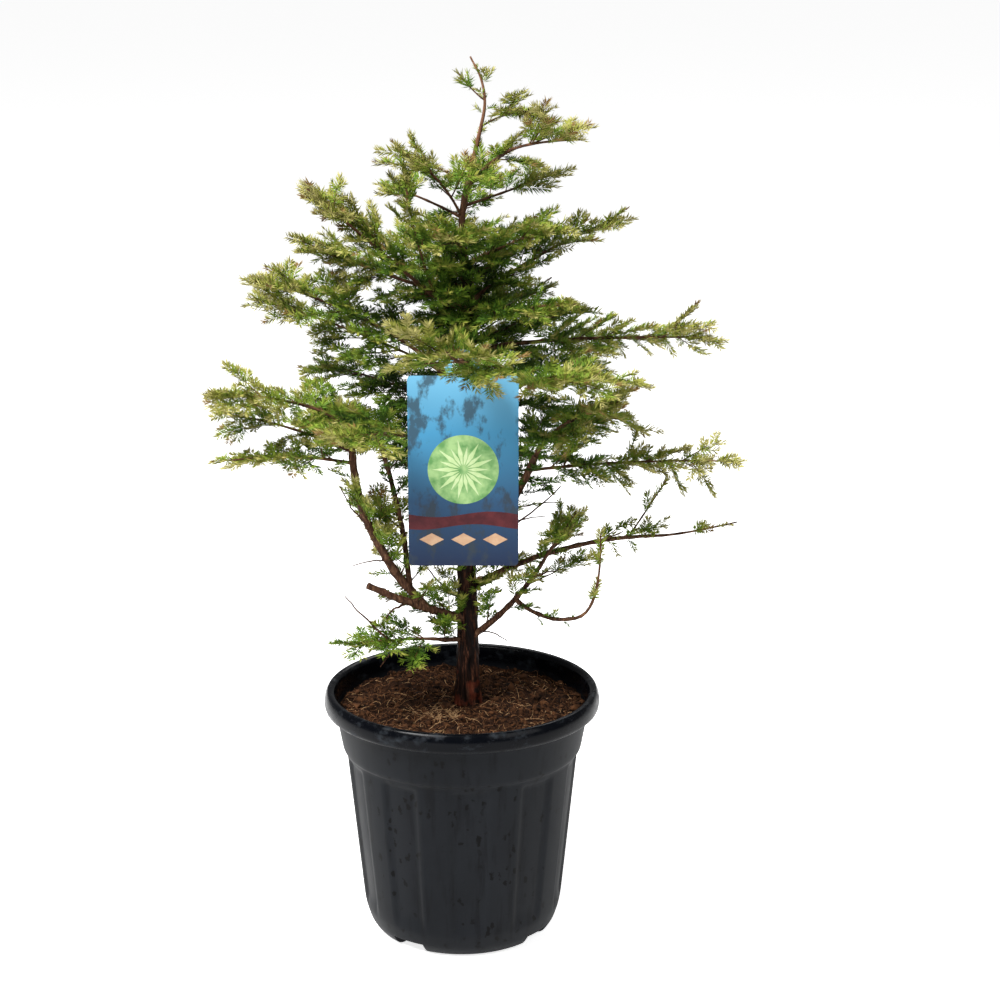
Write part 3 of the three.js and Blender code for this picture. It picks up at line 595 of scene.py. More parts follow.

# Needles by shade, from the darkest, for the painted shade inside the crown, to the lightest at its tips,
# with the bronze of some tips: name, linear colour
SHADES = [
    ("deep", (0.016, 0.037, 0.004)),
    ("inner", (0.034, 0.076, 0.008)),
    ("fresh", (0.068, 0.126, 0.012)),
    ("leafy", (0.120, 0.172, 0.019)),
    ("olive", (0.186, 0.192, 0.035)),
    ("pale", (0.255, 0.236, 0.078)),
    ("bronze", (0.150, 0.095, 0.030)),
]
SHADE_LIMITS = (0.22, 0.36, 0.48, 0.62, 0.90)
FRESH, OLIVE, PALE, BRONZE = 2, 4, 5, 6


def unit(vector):
    return vector / np.linalg.norm(vector, axis=-1, keepdims=True)


def square_to(direction, vector):
    """What is left of a vector square to a direction, as long as one."""
    return unit(vector - direction * vector.dot(direction))


def turned_about(vector, axis, angle):
    return (vector * math.cos(angle) + np.cross(axis, vector) * math.sin(angle)
            + axis * axis.dot(vector) * (1 - math.cos(angle)))


def turn_on_spot(turn):
    """What turns rows of places about the upright axis."""
    cos, sin = math.cos(turn), math.sin(turn)
    return np.array([[cos, sin, 0], [-sin, cos, 0], [0, 0, 1]])


def ring_turns(sides):
    """Even turns round a ring, in radians."""
    return np.arange(sides) / sides * math.tau


def smooth_step(value, low, high):
    share = np.clip((value - low) / (high - low), 0, 1)
    return share * share * (3 - 2 * share)


def tapered(root, end):
    """A radius that changes evenly along a limb."""
    return lambda share: root + (end - root) * share


def rule_random(seed):
    """The source's own numbers from 0 to 1, the same on every run."""
    state = seed

    def draw():
        nonlocal state
        state = (state * RULE_FACTOR + RULE_STEP) % RULE_RANGE
        return state / RULE_RANGE

    return draw


# Curves


class Curve:
    """A line of close points, read by the share of its length."""

    def __init__(self, points):
        self.points = np.asarray(points, float)
        steps = np.linalg.norm(np.diff(self.points, axis=0), axis=1)
        self.run = np.concatenate([[0], np.cumsum(steps)])
        self.length = self.run[-1]

    def at(self, share):
        run = np.asarray(share) * self.length
        return np.stack([np.interp(run, self.run, axis) for axis in self.points.T], axis=-1)

    def tangent(self, share):
        return unit(self.at(min(share + TANGENT_STEP, 1)) - self.at(max(share - TANGENT_STEP, 0)))


def bezier(start, control, end):
    t = np.linspace(0, 1, CURVE_POINTS)[:, None]
    return Curve((1 - t) ** 2 * start + 2 * t * (1 - t) * control + t**2 * end)


def bowed(start, tip, bow):
    end = np.array(tip, float)
    return bezier(start, (start + end) / 2 + 2 * np.array(bow), end)


def continued(curve, tip):
    direction = curve.tangent(1)
    start = curve.at(1)
    end = np.array(tip, float)
    return bezier(start, start + direction * HANDLE_SHARE * np.linalg.norm(end - start), end)


def centripetal(points):
    """A smooth curve through points, with its pace set by the root of the distance between them."""
    points = np.array(points, float)
    ends = [2 * points[0] - points[1], *points, 2 * points[-1] - points[-2]]
    line = []
    for p0, p1, p2, p3 in zip(ends, ends[1:], ends[2:], ends[3:]):
        d0, d1, d2 = (np.linalg.norm(b - a) ** 0.5 for a, b in ((p0, p1), (p1, p2), (p2, p3)))
        t1 = ((p1 - p0) / d0 - (p2 - p0) / (d0 + d1) + (p2 - p1) / d1) * d1
        t2 = ((p2 - p1) / d1 - (p3 - p1) / (d1 + d2) + (p3 - p2) / d2) * d1
        t = np.linspace(0, 1, BEND_POINTS)[:-1, None]
        line.append(p1 + t1 * t + (3 * (p2 - p1) - 2 * t1 - t2) * t**2 + (2 * (p1 - p2) + t1 + t2) * t**3)
    return Curve(np.concatenate([*line, points[-1:]]))


# Meshes


class Sheaf:
    """Corners and faces of many small shapes, joined into one mesh."""

    def __init__(self):
        self.corners, self.faces, self.count = [], [], 0

    def add(self, corners, faces):
        self.corners.append(corners)
        self.faces += [face + self.count for face in faces]
        self.count += len(corners)

    def piece(self, name, material, smooth=True):
        return piece_of(name, np.concatenate(self.corners), self.faces, material, smooth)


def piece_of(name, corners, faces, material, smooth=True):
    """An object that rides on the plant, from corners in millimetres and arrays of faces."""
    mesh = bpy.data.meshes.new(name)
    loops = np.concatenate([face.ravel() for face in faces])
    sizes = np.concatenate([np.full(len(face), face.shape[1]) for face in faces])
    mesh.vertices.add(len(corners))
    mesh.vertices.foreach_set("co", (np.asarray(corners) * MM).ravel())
    mesh.loops.add(len(loops))
    mesh.loops.foreach_set("vertex_index", loops)
    mesh.polygons.add(len(sizes))
    mesh.polygons.foreach_set("loop_start", np.concatenate([[0], np.cumsum(sizes)[:-1]]))
    mesh.polygons.foreach_set("use_smooth", np.full(len(sizes), smooth))
    mesh.update(calc_edges=True)
    mesh.validate()
    return placed(name, mesh, material)


def placed(name, mesh, material):
    piece = bpy.data.objects.new(name, mesh)
    mesh.materials.clear()
    mesh.materials.append(material)
    bpy.context.scene.collection.objects.link(piece)
    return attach(piece, "root")


def evaluated(shaper):
    """The mesh that an object has once its modifiers, or its curve, are worked out."""
    bpy.context.view_layer.update()
    return bpy.data.meshes.new_from_object(shaper.evaluated_get(bpy.context.evaluated_depsgraph_get()))


def ring_faces(rings, sides):
    """Faces between rings of corners, and those that close the first and the last ring."""
    side = np.arange(sides)
    lower = np.arange(rings - 1)[:, None] * sides
    first = (lower + side).ravel()
    after = (lower + (side + 1) % sides).ravel()
    walls = np.stack([first, after, after + sides, first + sides], 1)
    caps = np.stack([side[::-1], side + (rings - 1) * sides])
    return [walls, caps]


def tube(points, radii, sides):
    """A closed tube along points, with one radius for each point or for each corner of each ring."""
    points = np.asarray(points, float)
    steps = len(points)
    along = unit(np.gradient(points, axis=0))
    across = np.zeros_like(points)
    across[0] = unit(np.cross(along[0], ASIDE))
    for i in range(1, steps):
        across[i] = unit(across[i - 1] - along[i] * along[i].dot(across[i - 1]))
    beside = np.cross(along, across)
    turn = ring_turns(sides)
    radii = np.broadcast_to(np.asarray(radii, float).reshape(steps, -1), (steps, sides))
    rings = (points[:, None] + (radii * np.cos(turn))[..., None] * across[:, None]
             + (radii * np.sin(turn))[..., None] * beside[:, None])
    return rings.reshape(-1, 3), ring_faces(steps, sides)


def waves(rng, count, turns, lengths):
    """A bumpy function round a limb and along it, about -1 to 1, that closes on itself."""
    around = rng.integers(*turns, count)
    along = math.tau / rng.uniform(*lengths, count)
    start = rng.uniform(0, math.tau, count)

    def value(turn, run):
        total = 0
        for a, b, c in zip(around, along, start):
            total = total + np.sin(a * turn + b * run + c)
        return total / math.sqrt(count)

    return value


# Materials


def shader_of(name, **values):
    """A material, its node tree and its main shader, with plain values on the shader's own sockets."""
    material = bpy.data.materials.new(name)
    material.use_nodes = True
    shader = material.node_tree.nodes["Principled BSDF"]
    for socket, value in values.items():
        shader.inputs[socket.replace("_", " ")].default_value = value
    return material, material.node_tree, shader


def feed(tree, shader, **sources):
    """Wires what nodes put out to the shader's own sockets."""
    for socket, source in sources.items():
        tree.links.new(source, shader.inputs[socket.replace("_", " ")])


def node(tree, kind, inputs=(), **settings):
    made = tree.nodes.new("ShaderNode" + kind)
    for name, value in settings.items():
        setattr(made, name, value)
    for socket, value in dict(inputs).items():
        if isinstance(value, bpy.types.NodeSocket):
            tree.links.new(value, made.inputs[socket])
        else:
            made.inputs[socket].default_value = value
    return made


def place_in(tree, scale=(1, 1, 1)):
    """The place on the plant in metres, stretched by scale."""
    place = node(tree, "TexCoord").outputs["Object"]
    return node(tree, "Mapping", {"Vector": place, "Scale": scale}).outputs["Vector"]


def cloudy(tree, scale, detail=4, stretch=(1, 1, 1), roughness=0.55):
    inputs = {"Vector": place_in(tree, stretch), "Scale": scale, "Detail": detail, "Roughness": roughness}
    return node(tree, "TexNoise", inputs).outputs["Fac"]


def ramp(tree, amount, *stops):
    """A colour for each amount: stops are pairs of an amount and a colour."""
    made = node(tree, "ValToRGB", {"Fac": amount})
    elements = made.color_ramp.elements
    while len(elements) < len(stops):
        elements.new(0.5)
    for element, (at, colour) in zip(elements, stops):
        element.position = at
        element.color = (*colour, 1)
    return made.outputs["Color"]


def mixed(tree, amount, a, b):
    """Colour b laid over colour a by an amount. Each is a colour, or what a node puts out."""
    a, b = (value if isinstance(value, bpy.types.NodeSocket) else (*value, 1) for value in (a, b))
    # The node has sockets of its own for each kind of data: 6 and 7 take colours, and output 2 gives one
    return node(tree, "Mix", {0: amount, 6: a, 7: b}, data_type="RGBA").outputs[2]


def joined(tree, operation, a, b):
    return node(tree, "Math", {0: a, 1: b}, operation=operation).outputs[0]


def stepped(tree, amount, low, high, start=0.0, end=1.0):
    inputs = {"Value": amount, "From Min": low, "From Max": high, "To Min": start, "To Max": end}
    return node(tree, "MapRange", inputs).outputs["Result"]


def bump(tree, height, strength, distance):
    inputs = {"Height": height, "Strength": strength, "Distance": distance}
    return node(tree, "Bump", inputs).outputs["Normal"]


def risen(tree, low, high, start=0.0, end=1.0):
    """An amount that goes from start to end between two heights on the plant."""
    height = node(tree, "SeparateXYZ", {"Vector": place_in(tree)}).outputs["Z"]
    return stepped(tree, height, low * MM, high * MM, start, end)


def bark_material():
    """Wet and almost black at the foot, red-brown above, with long fibres."""
    material, tree, shader = shader_of("bark", Specular_IOR_Level=0.06)
    fibres = cloudy(tree, 60, 8, (3, 3, 0.35), 0.65)
    low = ramp(tree, fibres, (0.36, (0.0012, 0.0006, 0.0005)), (0.52, (0.0080, 0.0034, 0.0022)),
               (0.60, (0.050, 0.019, 0.010)), (0.72, (0.150, 0.066, 0.036)))
    high = ramp(tree, fibres, (0.3, (0.045, 0.021, 0.012)), (0.55, (0.135, 0.066, 0.036)),
                (0.75, (0.260, 0.150, 0.090)))
    colour = mixed(tree, risen(tree, *PALE_BARK_HEIGHTS), low, high)
    ruddy = joined(tree, "ADD", cloudy(tree, 45), risen(tree, *RUDDY_FOOT_HEIGHTS, 0.13, 0))
    rust = stepped(tree, ruddy, 0.64, 0.74, 0, 0.6)
    feed(tree, shader, Base_Color=mixed(tree, rust, colour, (0.075, 0.015, 0.007)),
         Roughness=stepped(tree, fibres, 0.3, 0.7, 0.38, 0.82), Normal=bump(tree, fibres, 0.5, 0.0012))
    return material


def limb_material():
    """Brown boughs with a grey bloom."""
    material, tree, shader = shader_of("bough_bark", Roughness=0.7, Specular_IOR_Level=0.06)
    fibres = cloudy(tree, 150, 6, (2, 2, 0.5), 0.6)
    base = ramp(tree, fibres, (0.3, (0.009, 0.0045, 0.003)), (0.52, (0.048, 0.022, 0.012)),
                (0.75, (0.150, 0.080, 0.045)))
    bloom = stepped(tree, cloudy(tree, 40, 3), 0.58, 0.78, 0, 0.3)
    feed(tree, shader, Base_Color=mixed(tree, bloom, base, (0.135, 0.105, 0.080)),
         Normal=bump(tree, fibres, 0.45, 0.0008))
    return material


def needle_material(name, colour):
    return shader_of("needles_" + name, Base_Color=(*colour, 1), Roughness=0.6, Specular_IOR_Level=0.08)[0]


def pot_material():
    """Charcoal moulded plastic: a dusty bloom, dark drops and streaks, and a wet rim with scuffs and painted
    highlights.
    """
    material, tree, shader = shader_of("pot_plastic", Specular_IOR_Level=0.07)
    dust = cloudy(tree, 7, 5, (1, 1, 0.5))
    streaks = cloudy(tree, 16, 5, (4, 4, 0.28), 0.6)
    base = ramp(tree, dust, (0.3, (0.0022, 0.0028, 0.0039)), (0.7, (0.0067, 0.0077, 0.0095)))
    base = mixed(tree, stepped(tree, streaks, 0.52, 0.66, 0, 0.75), base, (0.0015, 0.0018, 0.0025))
    drops = node(tree, "TexVoronoi", {"Vector": place_in(tree, (1, 1, 0.55)), "Scale": 74})
    ragged = stepped(tree, cloudy(tree, 150, 3), 0.25, 0.75, -0.22, 0.22)
    inside = stepped(tree, joined(tree, "ADD", drops.outputs["Distance"], ragged), 0.18, 0.26, 1, 0)
    wet = joined(tree, "MULTIPLY", inside, stepped(tree, cloudy(tree, 15, 3), 0.46, 0.52))
    base = mixed(tree, wet, base, (0.0004, 0.0005, 0.0007))
    on_rim = risen(tree, *WET_RIM_HEIGHTS)
    # Light bluish patches on the dark wet rim: scuffs, and painted highlights standing in for wet reflections
    rim_scuff_and_highlight_noise = cloudy(tree, 34, 6, (1, 1, 1.6), 0.7)
    rim_scuffs_and_painted_highlights = stepped(tree, rim_scuff_and_highlight_noise, 0.54, 0.72, 0, 0.7)
    # The rim's dark wet colour, and the colour of its scuffs and painted highlights
    rim = mixed(tree, rim_scuffs_and_painted_highlights, (0.0009, 0.0012, 0.0020), (0.020, 0.024, 0.029))
    rough = stepped(tree, dust, 0.3, 0.7, 0.42, 0.6)
    shine = stepped(tree, rim_scuff_and_highlight_noise, 0.45, 0.68, 0.16, 0.5)
    feed(tree, shader, Base_Color=mixed(tree, on_rim, base, rim),
         Roughness=node(tree, "Mix", {0: on_rim, 2: rough, 3: shine}).outputs[0],
         Normal=bump(tree, cloudy(tree, 420, 2), 0.12, 0.0004))
    return material


def soil_material():
    material, tree, shader = shader_of("soil", Roughness=0.95, Specular_IOR_Level=0.04)
    grain = cloudy(tree, 140, 8, roughness=0.7)
    base = ramp(tree, grain, (0.34, (0.0019, 0.0010, 0.0007)), (0.52, (0.0119, 0.0051, 0.0026)),
                (0.66, (0.043, 0.0179, 0.0085)), (0.8, (0.102, 0.051, 0.024)))
    feed(tree, shader, Base_Color=base, Normal=bump(tree, grain, 0.9, 0.003))
    return material


def card_material():
    """A coated card printed from pale blue at the top to deep blue below, with soft dark mottling."""
    material, tree, shader = shader_of("card", Roughness=0.4, Specular_IOR_Level=0.15)
    low, high = (corner[2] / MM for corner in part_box("label"))
    sky = ramp(tree, risen(tree, low, high), (0.0, (0.0045, 0.010, 0.030)), (0.3, (0.012, 0.040, 0.085)),
               (0.62, (0.030, 0.145, 0.250)), (0.95, (0.105, 0.280, 0.400)))
    mottle = stepped(tree, cloudy(tree, 38, 6, (1, 1, 0.6), 0.65), 0.52, 0.62, 0, 0.8)
    feed(tree, shader, Base_Color=mixed(tree, mottle, sky, (0.0165, 0.023, 0.028)))
    return material


def clouded_material(name, grain, *stops, roughness, gloss):
    """Colours in soft clouds: grain is the scale and the detail of the clouds."""
    material, tree, shader = shader_of(name, Roughness=roughness, Specular_IOR_Level=gloss)
    feed(tree, shader, Base_Color=ramp(tree, cloudy(tree, *grain), *stops))
    return material


def twig_material():
    return clouded_material("twig_bark", (70, 4), (0.32, (0.020, 0.010, 0.006)), (0.6, (0.085, 0.040, 0.020)),
                            (0.8, (0.190, 0.105, 0.052)), roughness=0.7, gloss=0.06)


def grainy_material(name, dark, light, scale=180):
    return clouded_material(name, (scale, 3), (0.35, dark), (0.68, light), roughness=0.9, gloss=0.06)


def print_material(name, dark, light):
    return clouded_material(name, (60, 3), (0.35, dark), (0.65, light), roughness=0.4, gloss=0.15)


# The trunk and boughs


class Limb:
    """A trunk, bough or stem: a line, and its radius at a share of it."""

    def __init__(self, name, curve, radius):
        self.name, self.curve, self.radius = name, curve, radius

    def share(self, at):
        """The share of the line for a height on the trunk, or for a share of any other limb."""
        if self.name != "trunk":
            return at
        return float(np.interp(at, self.curve.points[:, 2], self.curve.run / self.curve.length))


def trunk_radius(share):
    height = share * (TREE_TOP - SOIL_HEIGHT)
    taper = (1 - share) ** TRUNK_TAPER
    flare = ROOT_FLARE * np.exp(-height / FLARE_HEIGHT)
    return TRUNK_TIP_RADIUS + (TRUNK_RADIUS - TRUNK_TIP_RADIUS) * taper + flare


def make_limbs():
    bends = [(right, back, height) for height, right, back in TRUNK_BENDS]
    limbs = {"trunk": Limb("trunk", centripetal(bends), trunk_radius)}
    for name, on, at, tip, bow, radii in BOUGHS:
        parent = limbs[on]
        curve = bowed(parent.curve.at(parent.share(at)), tip, bow)
        limbs[name] = Limb(name, curve, tapered(*radii))
    return limbs


def make_trunk(limb):
    """The trunk with long bark ridges, broken across, that fade with its girth, and rows of knots."""
    rng = np.random.default_rng(TRUNK_SEED)
    share = np.linspace(0, 1, TRUNK_STEPS)
    turn = ring_turns(TRUNK_SIDES)
    run = (share * limb.curve.length)[:, None]
    ridges, cracks, lobes = [waves(rng, *row)(turn, run) for row in (RIDGES, CRACKS, LOBES)]
    relief = RIDGE_DEPTH * (0.5 - np.abs(ridges)) + CRACK_DEPTH * cracks + LOBE_DEPTH * lobes
    rows = np.exp(-((run % KNOT_SPACING) - KNOT_PLACE) ** 2 / KNOT_SPREAD)
    knots = KNOT_DEPTH * rows * (1 + np.sin(KNOTS_ROUND * turn + run / KNOT_DRIFT))
    radii = limb.radius(share)[:, None] * (1 + relief + knots)
    return piece_of("trunk_bark", *tube(limb.curve.at(share), radii, TRUNK_SIDES), bark_material())


def make_boughs(limbs, holders):
    """The boughs, with swollen rings where shoots leave them, and a few dry twigs low down."""
    rng = np.random.default_rng(BOUGH_SEED)
    sheaf = Sheaf()
    turn = ring_turns(BOUGH_SIDES)
    for name, limb in limbs.items():
        if name == "trunk":
            continue
        share = np.linspace(0, 1, max(BOUGH_LEAST_STEPS, int(limb.curve.length / BOUGH_STEP)))
        run = (share * limb.curve.length)[:, None]
        relief = BUMP_DEPTH * waves(rng, *BUMPS)(turn, run)
        for ring in np.arange(rng.uniform(*FIRST_RING), limb.curve.length, RING_SPACING):
            away = run - ring - rng.uniform(-RING_SHIFT, RING_SHIFT)
            relief = relief + RING_DEPTH * np.exp(-(away / RING_WIDTH) ** 2)
        wander = WANDER_DEPTH * waves(rng, *WANDER)(0, run) * np.sin(math.pi * share)[:, None]
        line = limb.curve.at(share) + wander * np.array(WANDER_AXES) * limb.radius(0.5) * WANDER_SHARE
        sheaf.add(*tube(line, limb.radius(share)[:, None] * (1 + relief), BOUGH_SIDES))
    for on, at, tip, bow, radius in DRY_TWIGS:
        holder = holders[on]
        curve = bowed(holder.curve.at(holder.share(at)), tip, bow)
        share = np.linspace(0, 1, DRY_STEPS)
        kinks = rng.normal(0, DRY_KINK, (DRY_STEPS, 3)) * np.sin(math.pi * share)[:, None]
        sheaf.add(*tube(curve.at(share) + kinks, radius * (1 - DRY_TAPER * share), DRY_SIDES))
    return sheaf.piece("boughs", limb_material())


# The foliage


class Stem(Limb):
    """The stem of one mass of foliage, from what carries it to its tip."""

    def __init__(self, row, limbs):
        name, on, at, tip, bow, self.bare, self.span, self.rise = row
        parent = limbs[on]
        if at is None:
            curve = continued(parent.curve, tip)
            room = parent.radius(1) * TIP_STEM_SHARE
        else:
            share = parent.share(at)
            curve = bowed(parent.curve.at(share), tip, bow)
            room = parent.radius(share) * SIDE_STEM_SHARE
        super().__init__(name, curve, tapered(min(STEM_RADIUS, room), STEM_TIP_RADIUS))
        self.line = curve.at(np.linspace(0, 1, STEM_POINTS))


class Space:
    """What keeps each mass of foliage to its own space, clear of the limbs, the label and the pot."""

    def __init__(self, stems, limbs, hang):
        self.stem_starts = np.array([stem.line[:-1] for stem in stems])
        self.stem_ends = np.array([stem.line[1:] for stem in stems])
        lines = [limb.curve.at(np.linspace(0, 1, LIMB_STRETCHES + 1)) for limb in limbs.values()]
        middles = (np.arange(LIMB_STRETCHES) + 0.5) / LIMB_STRETCHES
        self.limb_starts = np.concatenate([line[:-1] for line in lines])
        self.limb_ends = np.concatenate([line[1:] for line in lines])
        self.limb_radii = np.concatenate([limb.radius(middles) for limb in limbs.values()])
        right, top = hang
        half = np.array([LABEL_WIDTH / 2, LABEL_THICKNESS, (LABEL_HEIGHT + TAB_RISE + TAB_RADIUS) / 2])
        middle = np.array([right, LABEL_DEPTH, top + TAB_RISE + TAB_RADIUS - half[2]])
        self.label_low = middle - half - LABEL_CLEARANCE
        self.label_high = middle + half + LABEL_CLEARANCE
        self.reach_low = np.array(cad_box[0]) / MM - REACH_MARGIN
        self.reach_high = np.array(cad_box[1]) / MM + REACH_MARGIN
        self.eye = np.array(CAMERA_PLACE) / MM
        self.openings = np.array(OPENINGS, float)

    @staticmethod
    def distances(points, starts, ends):
        """The distance of each point from each stretch."""
        points = points.reshape(-1, *[1] * (starts.ndim - 1), 3)
        way = ends - starts
        along = ((points - starts) * way).sum(-1) / (way * way).sum(-1)
        nearest = starts + np.clip(along, 0, 1)[..., None] * way
        return np.linalg.norm(points - nearest, axis=-1)

    def meets_label(self, root, points):
        """Whether the straight way from root to a point runs through the label's space."""
        way = points - root
        way = np.where(np.abs(way) < TINY, TINY, way)
        one, two = (self.label_low - root) / way, (self.label_high - root) / way
        enter = np.minimum(one, two).max(-1)
        leave = np.maximum(one, two).min(-1)
        return bool(((enter < leave) & (enter < 1) & (leave > 0)).any())

    def reaches(self, point):
        """Whether a point is within the solids' reach."""
        return bool((point > self.reach_low).all() and (point < self.reach_high).all())

    def shows_sky(self, point):
        """Whether a point is in an open place of the crown."""
        seen = self.eye + (point - self.eye) * self.eye[1] / (self.eye[1] - point[1])
        across, up, length, height, slope = self.openings.T
        right, rise = seen[0] - across, seen[2] - up
        turn = np.radians(slope)
        along = (right * np.cos(turn) + rise * np.sin(turn)) / length
        over = (rise * np.cos(turn) - right * np.sin(turn)) / height
        return bool((along**2 + over**2 < 1).any())

    def leafy(self, point):
        """Whether leaves may stand at a point."""
        return self.reaches(point) and not self.shows_sky(point)

    def open(self, root, points):
        """Whether a spray stands clear of the pot and the label."""
        return points[:, 2].min() > POT_HEIGHT + RIM_CLEARANCE and not self.meets_label(root, points)

    def clear(self, root, points, index):
        """Whether a spray also keeps to the space of its own mass, clear of every limb."""
        if not self.open(root, points):
            return False
        near = self.distances(points, self.stem_starts, self.stem_ends).min(-1)
        own = near[:, index].copy()
        near[:, index] = np.inf
        if (near.min(-1) < own + SPACE_MARGIN).any():
            return False
        limbs = self.distances(points, self.limb_starts, self.limb_ends) - self.limb_radii
        return limbs.min() > LIMB_CLEARANCE


def twig_turn(stem, share, turn, draw, sink):
    """The direction and the normal of a twig beside a stem, for turn -1 or 1, or on top of it, for 0."""
    tangent = stem.curve.tangent(share)
    side = unit(np.cross(tangent, UP))
    over = np.cross(side, tangent)
    fork = FORK_ANGLE * (1 - FORK_CLOSING * share)
    rise = math.radians(stem.rise - sink + RISE_SPREAD * (draw() - 0.5))
    out = side * turn * math.cos(rise) + over * (math.sin(rise) if turn else 1)
    direction = unit(tangent * math.cos(fork) + out * math.sin(fork))
    normal = square_to(direction, over if turn else side)
    return direction, turned_about(normal, direction, ROLL * (2 * draw() - 1))


def spray_corners(root, direction, normal, length):
    """Points on the edge of a spray: its tip, its widest places and its shoulders."""
    side = np.cross(normal, direction) * length * SPRAY_HALF_WIDTH
    ahead = direction * length
    widest = root + SPRAY_WIDEST * ahead
    shoulder = root + SPRAY_SHOULDER * ahead
    narrow = SHOULDER_WIDTH * side
    return np.array([root + ahead, widest + side, widest - side, shoulder + narrow, shoulder - narrow])


def fitting_twig(stem, index, share, turn, draw, space, shorter=1.0, sink=0):
    """The longest twig that fits at a share of a stem, out of a few turns and sizes, or nothing."""
    root = stem.curve.at(share)
    spread = SPAN_LEAST + SPAN_SPREAD * draw()
    longest = stem.span * (1 - SPAN_TAPER * share) * spread * (1 if turn else TOP_SHARE)
    turns = [twig_turn(stem, share, turn, draw, sink) for _ in range(TURN_TRIES)]
    for size in SIZE_TRIES:
        length = longest * size * shorter
        for direction, normal in turns:
            if space.clear(root, spray_corners(root, direction, normal, length), index):
                return [(root, direction, normal, length, share)]
    return []


def grow_twigs(stem, index, space):
    """The twigs of one mass: the one that ends it, those of the source's rule, and finer ones between."""
    draw = rule_random(RULE_SEED + SEED_STEP * index)
    length = stem.curve.length
    leafy = length * (1 - stem.bare)
    end_size = min(END_SPAN_SHARE * stem.span, END_LENGTH_SHARE * length)
    end_share = 1 - END_OVERLAP * end_size / length
    direction = stem.curve.tangent(1 - 0.5 * end_size / length)
    tip_root = stem.curve.at(1) - direction * end_size
    twigs = [(tip_root, direction, square_to(direction, UP), end_size, 1.0)]
    places = max(1, round(leafy / TWIG_SPACING))
    for i in range(places):
        share = stem.bare + (end_share - stem.bare) * (i + FIRST_TWIG) / places
        for turn in (-1, 1, 0) if i % 2 else (-1, 1):
            twigs += fitting_twig(stem, index, share, turn, draw, space)
    spacing = FINE_SPACING * min(1, stem.span / FULL_SPAN)
    fine = 0 if stem.name in SPARSE else max(1, round(leafy / spacing))
    first, spread = FINE_PLACES
    low, high = FINE_SHARE
    for i in range(fine):
        share = stem.bare + (FINE_END - stem.bare) * (i + first + spread * draw()) / fine
        for turn in (-1, 1):
            shorter = low + (high - low) * draw()
            twigs += fitting_twig(stem, index, share, turn, draw, space, shorter, FINE_SINK)
    return end_share, twigs


